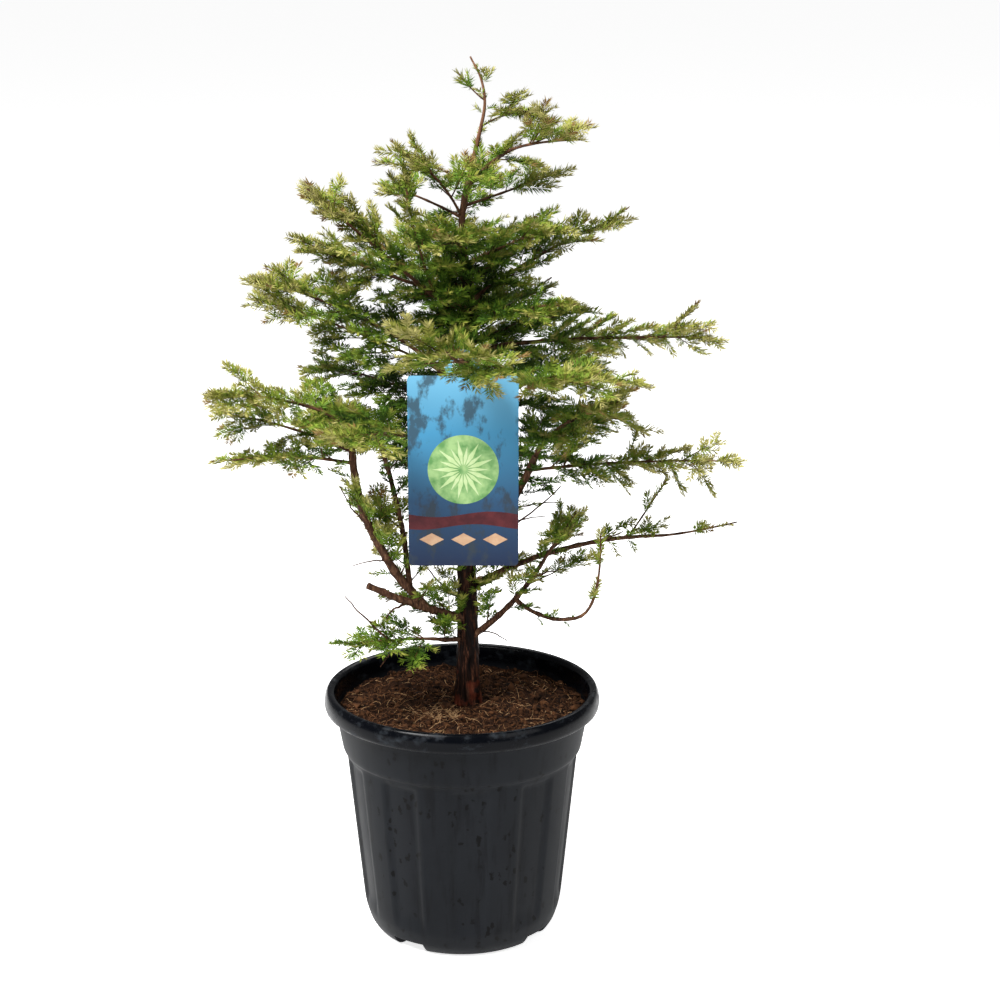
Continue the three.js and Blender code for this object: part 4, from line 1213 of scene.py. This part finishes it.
class Foliage:
    """Needles by shade, and the wood that carries them."""

    def __init__(self, space):
        self.space = space
        self.needles = [[] for _ in SHADES]
        self.wood = Sheaf()
        self.rng = np.random.default_rng(NEEDLE_SEED)

    def shade(self, place, outer, bright):
        """The shade of a feather, painted light and shade: painted dark inside the crown and lighter towards
        its outside, top, left and front, where the lamp falls, yellow towards its tips, and painted paler low
        on the right, in the crown's shadow.
        """
        if bright:
            # Young leaves above the pot, in the crown's shadow, are painted a shade paler: painted light
            return FRESH + int(self.rng.integers(2)) + int(place[2] > PALER_ABOVE)
        reach = math.hypot(place[0], DEPTH_SHARE * place[1]) / CROWN_RADIUS
        climb = (place[2] - CROWN_FOOT) / CROWN_HEIGHT
        left = -place[0] / CROWN_RADIUS
        front = -place[1] / CROWN_RADIUS
        low_right = max(0, -left) * (1 - climb) ** 2
        causes = (reach, outer, climb**2, left, front, low_right)
        light = sum(weight * cause for weight, cause in zip(LIGHT_WEIGHTS, causes))
        light += self.rng.normal(0, LIGHT_SPREAD)
        return int(np.searchsorted(SHADE_LIMITS, light))

    def within(self, root, direction, length):
        """The part of a length along which leaves may stand."""
        for run in (*np.arange(0, length, FEATHER_LEAST), length):
            if not self.space.leafy(root + direction * run):
                return max(0, run - FEATHER_LEAST)
        return length

    def feather(self, root, direction, normal, length, shade):
        """Needles in two ranks on a fine shoot, and some loose ones, swept forward at its tip."""
        rng = self.rng
        length = self.within(root, direction, length)
        if length < FEATHER_LEAST:
            return
        pairs = max(NEEDLE_LEAST_PAIRS, int(length / NEEDLE_SPACING))
        count = 2 * pairs
        share = np.repeat((np.arange(pairs) + 0.5) / pairs, 2) + rng.normal(0, 0.5 / count, count)
        sign = np.tile([-1.0, 1.0], pairs)
        loose = rng.random(count) < LOOSE_SHARE
        roll = np.where(loose, rng.uniform(*LOOSE_ROLL, count), rng.normal(*NEEDLE_ROLL, count))
        start, end = np.radians(NEEDLE_ANGLE)
        angle = start + (end - start) * share + rng.normal(0, NEEDLE_SWAY, count)
        across = np.cross(normal, direction)
        out = across * (sign * np.cos(roll))[:, None] + normal * np.sin(roll)[:, None]
        way = direction * np.cos(angle)[:, None] + out * np.sin(angle)[:, None]
        sag = FEATHER_SAG * length * share**2
        base = root + direction * (length * share)[:, None] - UP * sag[:, None]
        grown = min(1.0, YOUNG_LENGTH + length / FULL_FEATHER)
        first, span = NEEDLE_OUTLINE
        size = NEEDLE_LENGTH * grown * (0.5 + 0.5 * np.sin(math.pi * (first + span * share)))
        size = (size * rng.uniform(*NEEDLE_SPREAD, count))[:, None]
        flat = unit(np.cross(way, normal + rng.normal(0, NEEDLE_TWIST, (count, 3))))
        middle = base + way * size * NEEDLE_WIDEST
        half = flat * NEEDLE_HALF_WIDTH * (YOUNG_WIDTH + (1 - YOUNG_WIDTH) * grown)
        kites = np.stack([base, middle - half, base + way * size, middle + half], 1)
        # A shade darker at the feather's foot as painted shade, and a shade lighter at its tip as young
        # growth and painted highlight
        kinds = np.clip(shade - (share < DARK_FOOT) + (share > LIGHT_TIP), 0, PALE)
        if shade >= OLIVE and rng.random() < BRONZE_CHANCE:
            kinds[share > BRONZE_FROM] = BRONZE
        for kind in np.unique(kinds):
            self.needles[kind].append(kites[kinds == kind])
        self.fine_shoot(root, root + direction * length - UP * FEATHER_SAG * length, (across, normal), shade)

    def fine_shoot(self, root, tip, widths, shade):
        """The shoot that carries a feather, as two crossed kites."""
        middle = (root + tip) / 2
        for width in widths:
            half = SHOOT_HALF_WIDTH * width
            self.needles[shade].append(np.array([[root, middle - half, tip, middle + half]]))

    def twig(self, root, direction, normal, length, share, bright):
        """A twig that bends a little, with feathers in pairs along it and one that ends it."""
        rng = self.rng
        length = self.within(root, direction, length)
        if length < LONE_FEATHER:
            self.feather(root, direction, normal, length, self.shade(root, share, bright))
            return
        normal = square_to(direction, normal + LEVELLING * UP)
        across = np.cross(normal, direction)
        bend = (UP * rng.normal(*TWIG_DROOP) + across * rng.normal(*TWIG_SWAY)) * length
        onward = unit(direction * length + TWIG_ONWARD * bend)
        ending = ENDING_SHARE * length
        run = np.linspace(0, length - WOODLESS_SHARE * ending, TWIG_POINTS)[:, None]
        line = root + direction * run + bend * (run / length) ** 2
        thick = TWIG_RADIUS + length / TWIG_GIRTH
        self.wood.add(*tube(line, thick * np.linspace(1, TWIG_TAPER, TWIG_POINTS), TWIG_SIDES))
        bare_end = length - ending
        place = root + direction * bare_end + bend * (bare_end / length) ** 2
        outer = ENDING_OUTER + (1 - ENDING_OUTER) * share
        self.feather(place, onward, normal, ending, self.shade(place, outer, bright))
        start, end = np.radians(FEATHER_ANGLE)
        first, span = FEATHER_OUTLINE
        for run in np.arange(FEATHER_FIRST * length, length - FEATHER_LAST * ending, FEATHER_SPACING):
            along = run / length
            outline = math.sin(math.pi * (first + span * along)) ** FEATHER_FULLNESS
            for sign in (-1, 1):
                size = FEATHER_SHARE * length * outline * rng.uniform(*FEATHER_SPREAD)
                angle = start + (end - start) * along + rng.normal(0, FEATHER_SWAY)
                way = direction * math.cos(angle) + across * sign * math.sin(angle)
                way = unit(way + 2 * bend * along / length + UP * rng.normal(FEATHER_LIFT, LIFT_SPREAD))
                face = square_to(way, normal + rng.normal(0, FEATHER_TWIST, 3))
                shift = rng.uniform(-FEATHER_SHIFT, FEATHER_SHIFT)
                place = root + direction * (run + shift) + bend * along**2
                shade = self.shade(place, 0.5 * along + 0.5 * share, bright)
                self.feather(place, way, face, np.clip(size, *FEATHER_SIZES), shade)

    def mass(self, stem, index):
        """A stem, swollen where old twigs left it, and its twigs."""
        end_share, twigs = grow_twigs(stem, index, self.space)
        steps = max(STEM_LEAST_STEPS, int(stem.curve.length / STEM_STEP))
        share = np.linspace(0, max(end_share, STEM_LEAST_END), steps)
        rings = 1 + STEM_RING_DEPTH * (np.arange(steps) % STEM_RING_EVERY == 1)
        self.wood.add(*tube(stem.curve.at(share), stem.radius(share) * rings, STEM_SIDES))
        for twig in twigs:
            self.twig(*twig, stem.name in BRIGHT)

    def spray(self, holder, at, tip):
        root = holder.curve.at(holder.share(at))
        way = np.array(tip, float) - root
        length = np.linalg.norm(way)
        direction = way / length
        self.twig(root, direction, square_to(direction, UP), length, SPRAY_OUTER, root[2] < YOUNG_BELOW)

    def shoots(self, holder, start, end, count, least, most):
        """Short leafy shoots all round a limb or a stem, where they clear the label and the pot."""
        rng = self.rng
        for share in start + (end - start) * (np.arange(count) + rng.uniform(0, 1, count)) / count:
            tangent = holder.curve.tangent(share)
            side = unit(np.cross(tangent, ASIDE))
            out = turned_about(side, tangent, rng.uniform(0, math.tau))
            direction = unit(out + tangent * SHOOT_FORWARD + UP * rng.uniform(*SHOOT_RISES))
            normal = unit(np.cross(direction, np.cross(UP + SHOOT_LEAN * side, direction)))
            length = rng.uniform(least, most)
            root = holder.curve.at(share) + out * holder.radius(share) * SHOOT_SEAT
            if self.space.open(root, spray_corners(root, direction, normal, length)):
                self.twig(root, direction, normal, length, SHOOT_OUTER, root[2] < YOUNG_BELOW)

    def pieces(self, nodes):
        """The wood as one piece and the needles as one for each shade, with two faces to a kite."""
        wood = self.wood.piece("twigs", twig_material())
        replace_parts(wood, *nodes)
        for (name, colour), kites in zip(SHADES, self.needles):
            corners = np.concatenate(kites).reshape(-1, 3)
            first = np.arange(0, len(corners), 4)
            faces = [np.stack([first, first + a, first + b], 1) for a, b in ((1, 2), (2, 3))]
            piece = piece_of("needles_" + name, corners, faces, needle_material(name, colour), smooth=False)
            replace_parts(piece, *nodes)


# The container


def rounded(profile):
    """A profile with its inner corners cut again and again, so that each becomes a small round."""
    points = np.array(profile, float)
    for _ in range(ROUNDINGS):
        ahead, behind = points[1:], points[:-1]
        spans = np.maximum(np.linalg.norm(ahead - behind, axis=1), TINY)
        reach = np.minimum(ROUNDING_SHARE, ROUNDING / spans)[:, None]
        pairs = np.stack([behind + (ahead - behind) * reach, ahead - (ahead - behind) * reach], 1)
        points = np.concatenate([points[:1], pairs.reshape(-1, 2)[1:-1], points[-1:]])
    return points


def finer(points, longest):
    """A line of points with more put in wherever two are far apart."""
    line = [points[:1]]
    for a, b in zip(points, points[1:]):
        count = max(1, int(math.ceil(np.linalg.norm(b - a) / longest)))
        line.append(a + (b - a) * (np.arange(1, count + 1) / count)[:, None])
    return np.concatenate(line)


def pot_profile():
    """Radius and height along the pot's section, from its underside up the outside and down to its floor."""
    rim_inside = RIM_RADIUS - RIM_WIDTH
    floor_top = FLOOR_HEIGHT + WALL
    return [
        (FLOOR_MIDDLE_RADIUS, FLOOR_HEIGHT),
        (FOOT_RADIUS - FOOT_WIDTH, FLOOR_HEIGHT),
        (FOOT_RADIUS - FOOT_WIDTH, 0),
        (FOOT_RADIUS, 0),
        (FOOT_RADIUS + 12, 5),
        (CORNER_RADIUS - 7, 18),
        (CORNER_RADIUS, CORNER_HEIGHT),
        (CORNER_RADIUS + 2, CORNER_HEIGHT + 14),
        (SHOULDER_RADIUS - 1, COLLAR_FOOT - 14),
        (SHOULDER_RADIUS, COLLAR_FOOT - 4),
        (SHOULDER_RADIUS + 5, COLLAR_FOOT),
        (rim_inside, POT_HEIGHT - RIM_DEPTH),
        (RIM_RADIUS - 1, POT_HEIGHT - RIM_DEPTH),
        (RIM_RADIUS, POT_HEIGHT - 12),
        (RIM_RADIUS - 4, POT_HEIGHT - 2),
        (RIM_RADIUS - 8, POT_HEIGHT),
        (rim_inside, POT_HEIGHT - 3),
        (rim_inside - WALL, POT_HEIGHT - RIM_DEPTH),
        (SHOULDER_RADIUS - WALL, COLLAR_FOOT),
        (CORNER_RADIUS - WALL, CORNER_HEIGHT),
        (CORNER_RADIUS - 18, floor_top),
        (FLOOR_MIDDLE_RADIUS, floor_top),
    ]


def ring_corners(radius, height, turn):
    """Corners of rings round the pot's axis, from a radius and a height for each."""
    x, y = radius * np.sin(turn), -radius * np.cos(turn)
    return np.stack([x, y, height + 0 * x], -1)


def flutes(radius, height, turn):
    """How deep wide shallow flutes press in between raised panels, from the rounded foot to the collar."""
    part = (turn / math.tau * FLUTES + FLUTE_START) % 1
    pressed = smooth_step(part, *FLUTE_SINKS) * (1 - smooth_step(part, *FLUTE_RISES))
    ends = smooth_step(height, *FLUTE_LOW_END) * (1 - smooth_step(height, *FLUTE_HIGH_END))
    return FLUTE_DEPTH * pressed * ends * (radius > CORNER_RADIUS - 1)


def add_box(sheaf, size, centre, turn):
    """A box in millimetres, turned about the pot's axis."""
    signs = np.array([(x, y, z) for z in (-1, 1) for y in (-1, 1) for x in (-1, 1)])
    corners = (signs * np.array(size) / 2 + np.array(centre)) @ turn_on_spot(turn)
    faces = np.array([(0, 2, 3, 1), (4, 5, 7, 6), (0, 1, 5, 4), (2, 6, 7, 3), (0, 4, 6, 2), (1, 3, 7, 5)])
    sheaf.add(corners, [faces])


def notched(pot, material):
    """The pot's mesh with notches cut through its foot."""
    boxes = Sheaf()
    for turn in NOTCH_TURN + ring_turns(NOTCHES):
        add_box(boxes, (NOTCH_WIDTH, CORNER_RADIUS, 2 * NOTCH_HEIGHT), (0, -CORNER_RADIUS, 0), turn)
    cutter = boxes.piece("notches", material, smooth=False)
    cut = pot.modifiers.new("notches", "BOOLEAN")
    cut.object = cutter
    cut.operation = "DIFFERENCE"
    cut.solver = "EXACT"
    mesh = evaluated(pot)
    pot.modifiers.clear()
    bpy.data.objects.remove(cutter)
    return mesh


def make_pot():
    material = pot_material()
    radius, height = np.split(finer(rounded(pot_profile()), PROFILE_STEP), 2, axis=1)
    turn = ring_turns(POT_SIDES)
    corners = ring_corners(radius - flutes(radius, height, turn), height, turn).reshape(-1, 3)
    pot = piece_of("pot_body", corners, ring_faces(len(radius), POT_SIDES), material)
    pot.data = notched(pot, material)
    bars = Sheaf()
    bar = (FOOT_BAR_WIDTH, 2 * (FOOT_RADIUS - FOOT_WIDTH / 2), FLOOR_HEIGHT + 1)
    for i in range(NOTCHES // 2):
        add_box(bars, bar, (0, 0, (FLOOR_HEIGHT + 1) / 2), NOTCH_TURN + (i + 0.5) / NOTCHES * math.tau)
    foot = bars.piece("pot_foot_bars", material, smooth=False)
    for piece in (pot, foot):
        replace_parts(piece, "pot")


# The soil


def soil_height(x, y, bumps):
    mound = MOUND_HEIGHT * np.exp(-(np.hypot(x - TRUNK_FOOT, y) / MOUND_WIDTH) ** 2)
    edge = -SOIL_SINK - EDGE_SINK * smooth_step(np.hypot(x, y), EDGE_FROM, SOIL_RADIUS)
    return SOIL_HEIGHT + mound + edge + bumps(x, y)


def soil_bumps(rng):
    """Clods of several sizes, as a height in millimetres at a place."""
    rows = []
    for size, tall, count in CLODS:
        for _ in range(count):
            heading = rng.uniform(0, math.tau)
            pace = math.tau / (size * rng.uniform(*CLOD_SPREAD))
            start = rng.uniform(0, ANY_TURN)
            rows.append((pace * math.cos(heading), pace * math.sin(heading), start, tall / math.sqrt(count)))

    def height(x, y):
        total = 0
        for a, b, c, tall in rows:
            total = total + tall * np.sin(a * x + b * y + c)
        return total

    return height


def make_soil():
    """A bumpy top and a smooth body within the pot, with what lies on it."""
    rng = np.random.default_rng(SOIL_SEED)
    bumps = soil_bumps(rng)
    turn = ring_turns(SOIL_SIDES)
    top = ring_corners(SOIL_RADIUS * np.linspace(SOIL_MIDDLE_SHARE, 1, SOIL_RINGS)[:, None], 0, turn)[::-1]
    top[..., 2] = soil_height(top[..., 0], top[..., 1], bumps)
    inside = SHOULDER_RADIUS - WALL - SOIL_CLEARANCE
    body = np.array([
        (CORNER_RADIUS - 22, FLOOR_HEIGHT + WALL + 1),
        (CORNER_RADIUS - 9, CORNER_HEIGHT + 4),
        (inside - FLUTE_DEPTH, COLLAR_FOOT - 8),
        (inside, COLLAR_FOOT + 4),
    ])
    rings = np.concatenate([ring_corners(body[:, :1], body[:, 1:], turn), top])
    soil = piece_of("soil_body", rings.reshape(-1, 3), ring_faces(len(rings), SOIL_SIDES), soil_material())
    for piece in [soil, make_crumbs(rng, bumps), *make_fibres(rng, bumps)]:
        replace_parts(piece, "soil")


def on_soil(rng):
    """A place on the soil, clear of the trunk."""
    while True:
        radius = (SOIL_RADIUS - LITTER_MARGIN) * math.sqrt(rng.random())
        turn = rng.uniform(0, math.tau)
        x, y = radius * math.cos(turn), radius * math.sin(turn)
        if math.hypot(x - TRUNK_FOOT, y) > TRUNK_CLEARANCE:
            return x, y


def crumb_shape():
    """Corners and faces of a lump with twenty faces."""
    ring = [(math.cos(turn), math.sin(turn)) for turn in ring_turns(CRUMB_SIDES)]
    upper = [(x, y, CRUMB_SLOPE) for x, y in ring]
    lower = [(-x, -y, -CRUMB_SLOPE) for x, y in ring]
    corners = np.array([(0, 0, 1), *upper, *lower, (0, 0, -1)])
    faces = []
    for k in range(CRUMB_SIDES):
        a, b = (1 + (k + step) % CRUMB_SIDES for step in (0, 1))
        c, d = (1 + CRUMB_SIDES + (k + step) % CRUMB_SIDES for step in (3, 2))
        faces += [(0, a, b), (a, d, c), (a, c, b), (len(corners) - 1, c, d)]
    return corners, np.array(faces)


def make_crumbs(rng, bumps):
    """Bark crumbs and clods lying on the soil."""
    shape, faces = crumb_shape()
    sheaf = Sheaf()
    for _ in range(CRUMBS):
        x, y = on_soil(rng)
        size = rng.uniform(*CRUMB_SIZES) * (1 + BIG_CRUMB_GROWTH * (rng.random() < BIG_CRUMB_CHANCE))
        lump = shape * rng.uniform(*CRUMB_ROUGHNESS, (len(shape), 1)) * size * rng.uniform(*CRUMB_STRETCH, 3)
        lump = lump @ turn_on_spot(rng.uniform(0, ANY_TURN))
        sheaf.add(lump + np.array([x, y, soil_height(x, y, bumps) + CRUMB_SEAT * size]), [faces])
    material = grainy_material("soil_crumbs", CRUMB_DARK, CRUMB_LIGHT, CRUMB_GRAIN)
    return sheaf.piece("soil_crumbs", material, smooth=False)


def add_fibre(sheaf, rng, bumps, x, y, lengths):
    """A fibre that winds over the soil from a place, kept within the pot."""
    length = rng.uniform(*lengths)
    heading = rng.uniform(0, math.tau)
    steps = np.linspace(0, 1, FIBRE_POINTS)
    turn = heading + rng.normal(0, FIBRE_BEND) * steps
    path = np.cumsum(np.stack([np.cos(turn), np.sin(turn)], 1), 0) * length / FIBRE_POINTS + (x, y)
    inside = np.minimum(1, (SOIL_RADIUS - FIBRE_MARGIN) / np.maximum(np.hypot(*path.T), 1))
    x, y = path.T * inside
    lift = rng.uniform(*FIBRE_LIFTS)
    lift = lift + rng.uniform(*FIBRE_ARCHES) * np.sin(math.pi * steps) * (rng.random() < ARCHED_CHANCE)
    line = np.stack([x, y, soil_height(x, y, bumps) + lift], 1)
    sheaf.add(*tube(line, rng.uniform(*FIBRE_RADII) * np.linspace(1, FIBRE_TAPER, FIBRE_POINTS), FIBRE_SIDES))


def make_fibres(rng, bumps):
    """Loose fibres on the soil in three tints, with a tan tuft in front of the trunk."""
    pieces = []
    for name, count, dark, light in FIBRES:
        sheaf = Sheaf()
        for i in range(count):
            place = on_soil(rng)
            if not pieces and i < TUFT_FIBRES:
                place = [rng.normal(middle, spread) for middle, spread in zip(TUFT_PLACE, TUFT_SPREAD)]
            add_fibre(sheaf, rng, bumps, *place, FIBRE_LENGTHS if i % 3 else SHORT_FIBRES)
        pieces.append(sheaf.piece(name, grainy_material(name, dark, light)))
    return pieces


# The label


def label_place(bough):
    """The middle and the top of the card: its ring rests on the top of the front bough."""
    shares = np.linspace(0, 1, CURVE_POINTS)
    line = bough.curve.at(shares)
    index = int(np.argmax(line[:, 1] < LABEL_DEPTH))
    ring = line[index, 2] + bough.radius(shares[index]) + 2 * GAP - TAB_HOLE_RADIUS
    return line[index, 0], ring - TAB_RISE


def arc(x, z, radius, start, end, steps):
    turn = np.linspace(start, end, steps)
    return [(x + radius * math.cos(a), z + radius * math.sin(a)) for a in turn]


def circle(z, radius, steps):
    return arc(0, z, radius, 0, math.tau, steps + 1)[:-1]


def flat_piece(name, loops, place, depth, thickness, material):
    """A thin plate in the label's plane, from closed loops: the outline, then any holes."""
    right, top = place
    curve = bpy.data.curves.new(name, "CURVE")
    curve.dimensions = "2D"
    curve.fill_mode = "BOTH"
    curve.extrude = thickness / 2 * MM
    for loop in loops:
        spline = curve.splines.new("POLY")
        spline.points.add(len(loop) - 1)
        flat = [(x * MM, z * MM, 0, 1) for x, z in loop]
        spline.points.foreach_set("co", np.array(flat).ravel())
        spline.use_cyclic_u = True
    shaper = bpy.data.objects.new(name, curve)
    bpy.context.scene.collection.objects.link(shaper)
    mesh = evaluated(shaper)
    bpy.data.objects.remove(shaper)
    corners = np.zeros(len(mesh.vertices) * 3)
    mesh.vertices.foreach_get("co", corners)
    x, z, y = corners.reshape(-1, 3).T
    upright = np.stack([x + right * MM, depth * MM - y, z + top * MM], 1)
    mesh.vertices.foreach_set("co", upright.ravel())
    mesh.update()
    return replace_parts(placed(name, mesh, material), "label")


def card_loops():
    """The outline of the card with its tab, and the hole in the tab."""
    half = LABEL_WIDTH / 2 - LABEL_CORNER
    low, high = LABEL_CORNER - LABEL_HEIGHT, -LABEL_CORNER
    quarter = math.pi / 2
    lean = math.asin(TAB_RISE / TAB_RADIUS)
    outline = [
        *arc(half, low, LABEL_CORNER, -quarter, 0, CORNER_STEPS),
        *arc(half, high, LABEL_CORNER, 0, quarter, CORNER_STEPS),
        *arc(0, TAB_RISE, TAB_RADIUS, -lean, math.pi + lean, TAB_STEPS),
        *arc(-half, high, LABEL_CORNER, quarter, 2 * quarter, CORNER_STEPS),
        *arc(-half, low, LABEL_CORNER, 2 * quarter, 3 * quarter, CORNER_STEPS),
    ]
    return [outline, circle(TAB_RISE, TAB_HOLE_RADIUS, TAB_STEPS)]


def rosette_loops():
    """Pointed blades round the middle of the disc, long and short by turns."""
    blades = []
    for i, turn in enumerate(ring_turns(BLADES)):
        reach = BLADE_REACHES[i % 2]
        half = BLADE_HALF_WIDTH * reach
        cos, sin = math.cos(turn), math.sin(turn)
        points = ((BLADE_FOOT, 0), (0.5 * reach, half), (reach, 0), (0.5 * reach, -half))
        blades.append([(x * cos - z * sin, x * sin + z * cos + DISC_HEIGHT) for x, z in points])
    return blades


def band_loops():
    """A band across the card with a wave along both edges."""
    half = LABEL_WIDTH / 2 - BAND_MARGIN
    run = np.linspace(-half, half, BAND_POINTS)
    crest = [(x, BAND_TOP + BAND_SWING * math.sin(x / BAND_WAVE)) for x in run]
    trough = [(x, BAND_FOOT + BAND_SWING * math.sin(x / BAND_WAVE + BAND_SHIFT)) for x in run[::-1]]
    return [crest + trough]


def lozenge_loops():
    z, half, tall = LOZENGE_HEIGHT, LOZENGE_HALF_WIDTH, LOZENGE_HALF_HEIGHT
    return [[(x - half, z), (x, z + tall), (x + half, z), (x, z - tall)] for x in LOZENGE_PLACES]


def make_label(place):
    """A card with a ring tab and a made-up print: a rosette on a disc, a waved band and three lozenges."""
    flat_piece("label_card", card_loops(), place, LABEL_DEPTH, LABEL_THICKNESS, card_material())
    front = LABEL_DEPTH - LABEL_THICKNESS / 2
    disc = [circle(DISC_HEIGHT, DISC_RADIUS, DISC_STEPS)]
    prints = [
        ("label_disc", disc, 0, "green", (0.066, 0.165, 0.050), (0.198, 0.308, 0.127)),
        ("label_rosette", rosette_loops(), 1, "light_green", (0.253, 0.352, 0.154), (0.341, 0.407, 0.231)),
        ("label_band", band_loops(), 0, "maroon", (0.033, 0.0044, 0.0066), (0.058, 0.0088, 0.0110)),
        ("label_lozenges", lozenge_loops(), 0, "tan", (0.275, 0.160, 0.094), (0.352, 0.231, 0.143)),
    ]
    for name, loops, layer, tint, dark, light in prints:
        depth = front - (layer + 0.5) * PRINT_THICKNESS
        flat_piece(name, loops, place, depth, PRINT_THICKNESS, print_material("print_" + tint, dark, light))


# The stage


def make_stage():
    scene = bpy.context.scene
    lens = bpy.data.cameras.new("camera")
    lens.lens = CAMERA_LENS
    lens.sensor_width = CAMERA_SENSOR
    camera = bpy.data.objects.new("camera", lens)
    camera.location = CAMERA_PLACE
    camera.rotation_euler = (math.radians(90 - CAMERA_PITCH), 0, 0)
    scene.collection.objects.link(camera)
    scene.camera = camera
    mesh = bpy.data.meshes.new("floor")
    corners = [(x * FLOOR_HALF, y * FLOOR_HALF, 0) for x, y in ((-1, -1), (1, -1), (1, 1), (-1, 1))]
    mesh.from_pydata(corners, [], [(0, 1, 2, 3)])
    floor = bpy.data.objects.new("floor", mesh)
    grey = (FLOOR_GREY, FLOOR_GREY, FLOOR_GREY, 1)
    material = shader_of("floor", Base_Color=grey, Roughness=0.9, Specular_IOR_Level=0.1,
                         Emission_Color=(1, 1, 1, 1), Emission_Strength=FLOOR_GLOW)[0]
    mesh.materials.append(material)
    scene.collection.objects.link(floor)
    world = bpy.data.worlds.new("studio")
    world.use_nodes = True
    sky = world.node_tree.nodes["Background"]
    sky.inputs["Color"].default_value = (1, 1, 1, 1)
    sky.inputs["Strength"].default_value = SKY_STRENGTH
    scene.world = world
    for name, place, size, power in LIGHTS:
        lamp = bpy.data.lights.new(name, "AREA")
        lamp.size = size
        lamp.energy = power
        light = bpy.data.objects.new(name, lamp)
        light.location = place
        x, y, z = np.array(LIGHT_AIM) - np.array(place)
        light.rotation_euler = (math.atan2(math.hypot(x, y), -z), 0, math.atan2(-x, y))
        scene.collection.objects.link(light)
    scene.view_settings.view_transform = "Standard"
    scene.view_settings.exposure = EXPOSURE


make_stage()
limbs = make_limbs()
stems = [Stem(row, limbs) for row in MASSES]
hang = label_place(limbs["bough_front"])
space = Space(stems, limbs, hang)

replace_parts(make_trunk(limbs["trunk"]), "trunk")
holders = {**limbs, **{stem.name: stem for stem in stems}}
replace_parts(make_boughs(limbs, holders), *[name for name in limbs if name != "trunk"])
foliage = Foliage(space)
for index, stem in enumerate(stems):
    foliage.mass(stem, index)
for name, *row in SPRAYS:
    foliage.spray(holders[name], *row)
for name, *row in SHOOTS:
    foliage.shoots(holders[name], *row)
foliage.pieces([stem.name for stem in stems])
make_pot()
make_soil()
make_label(hang)

bpy.context.view_layer.update()
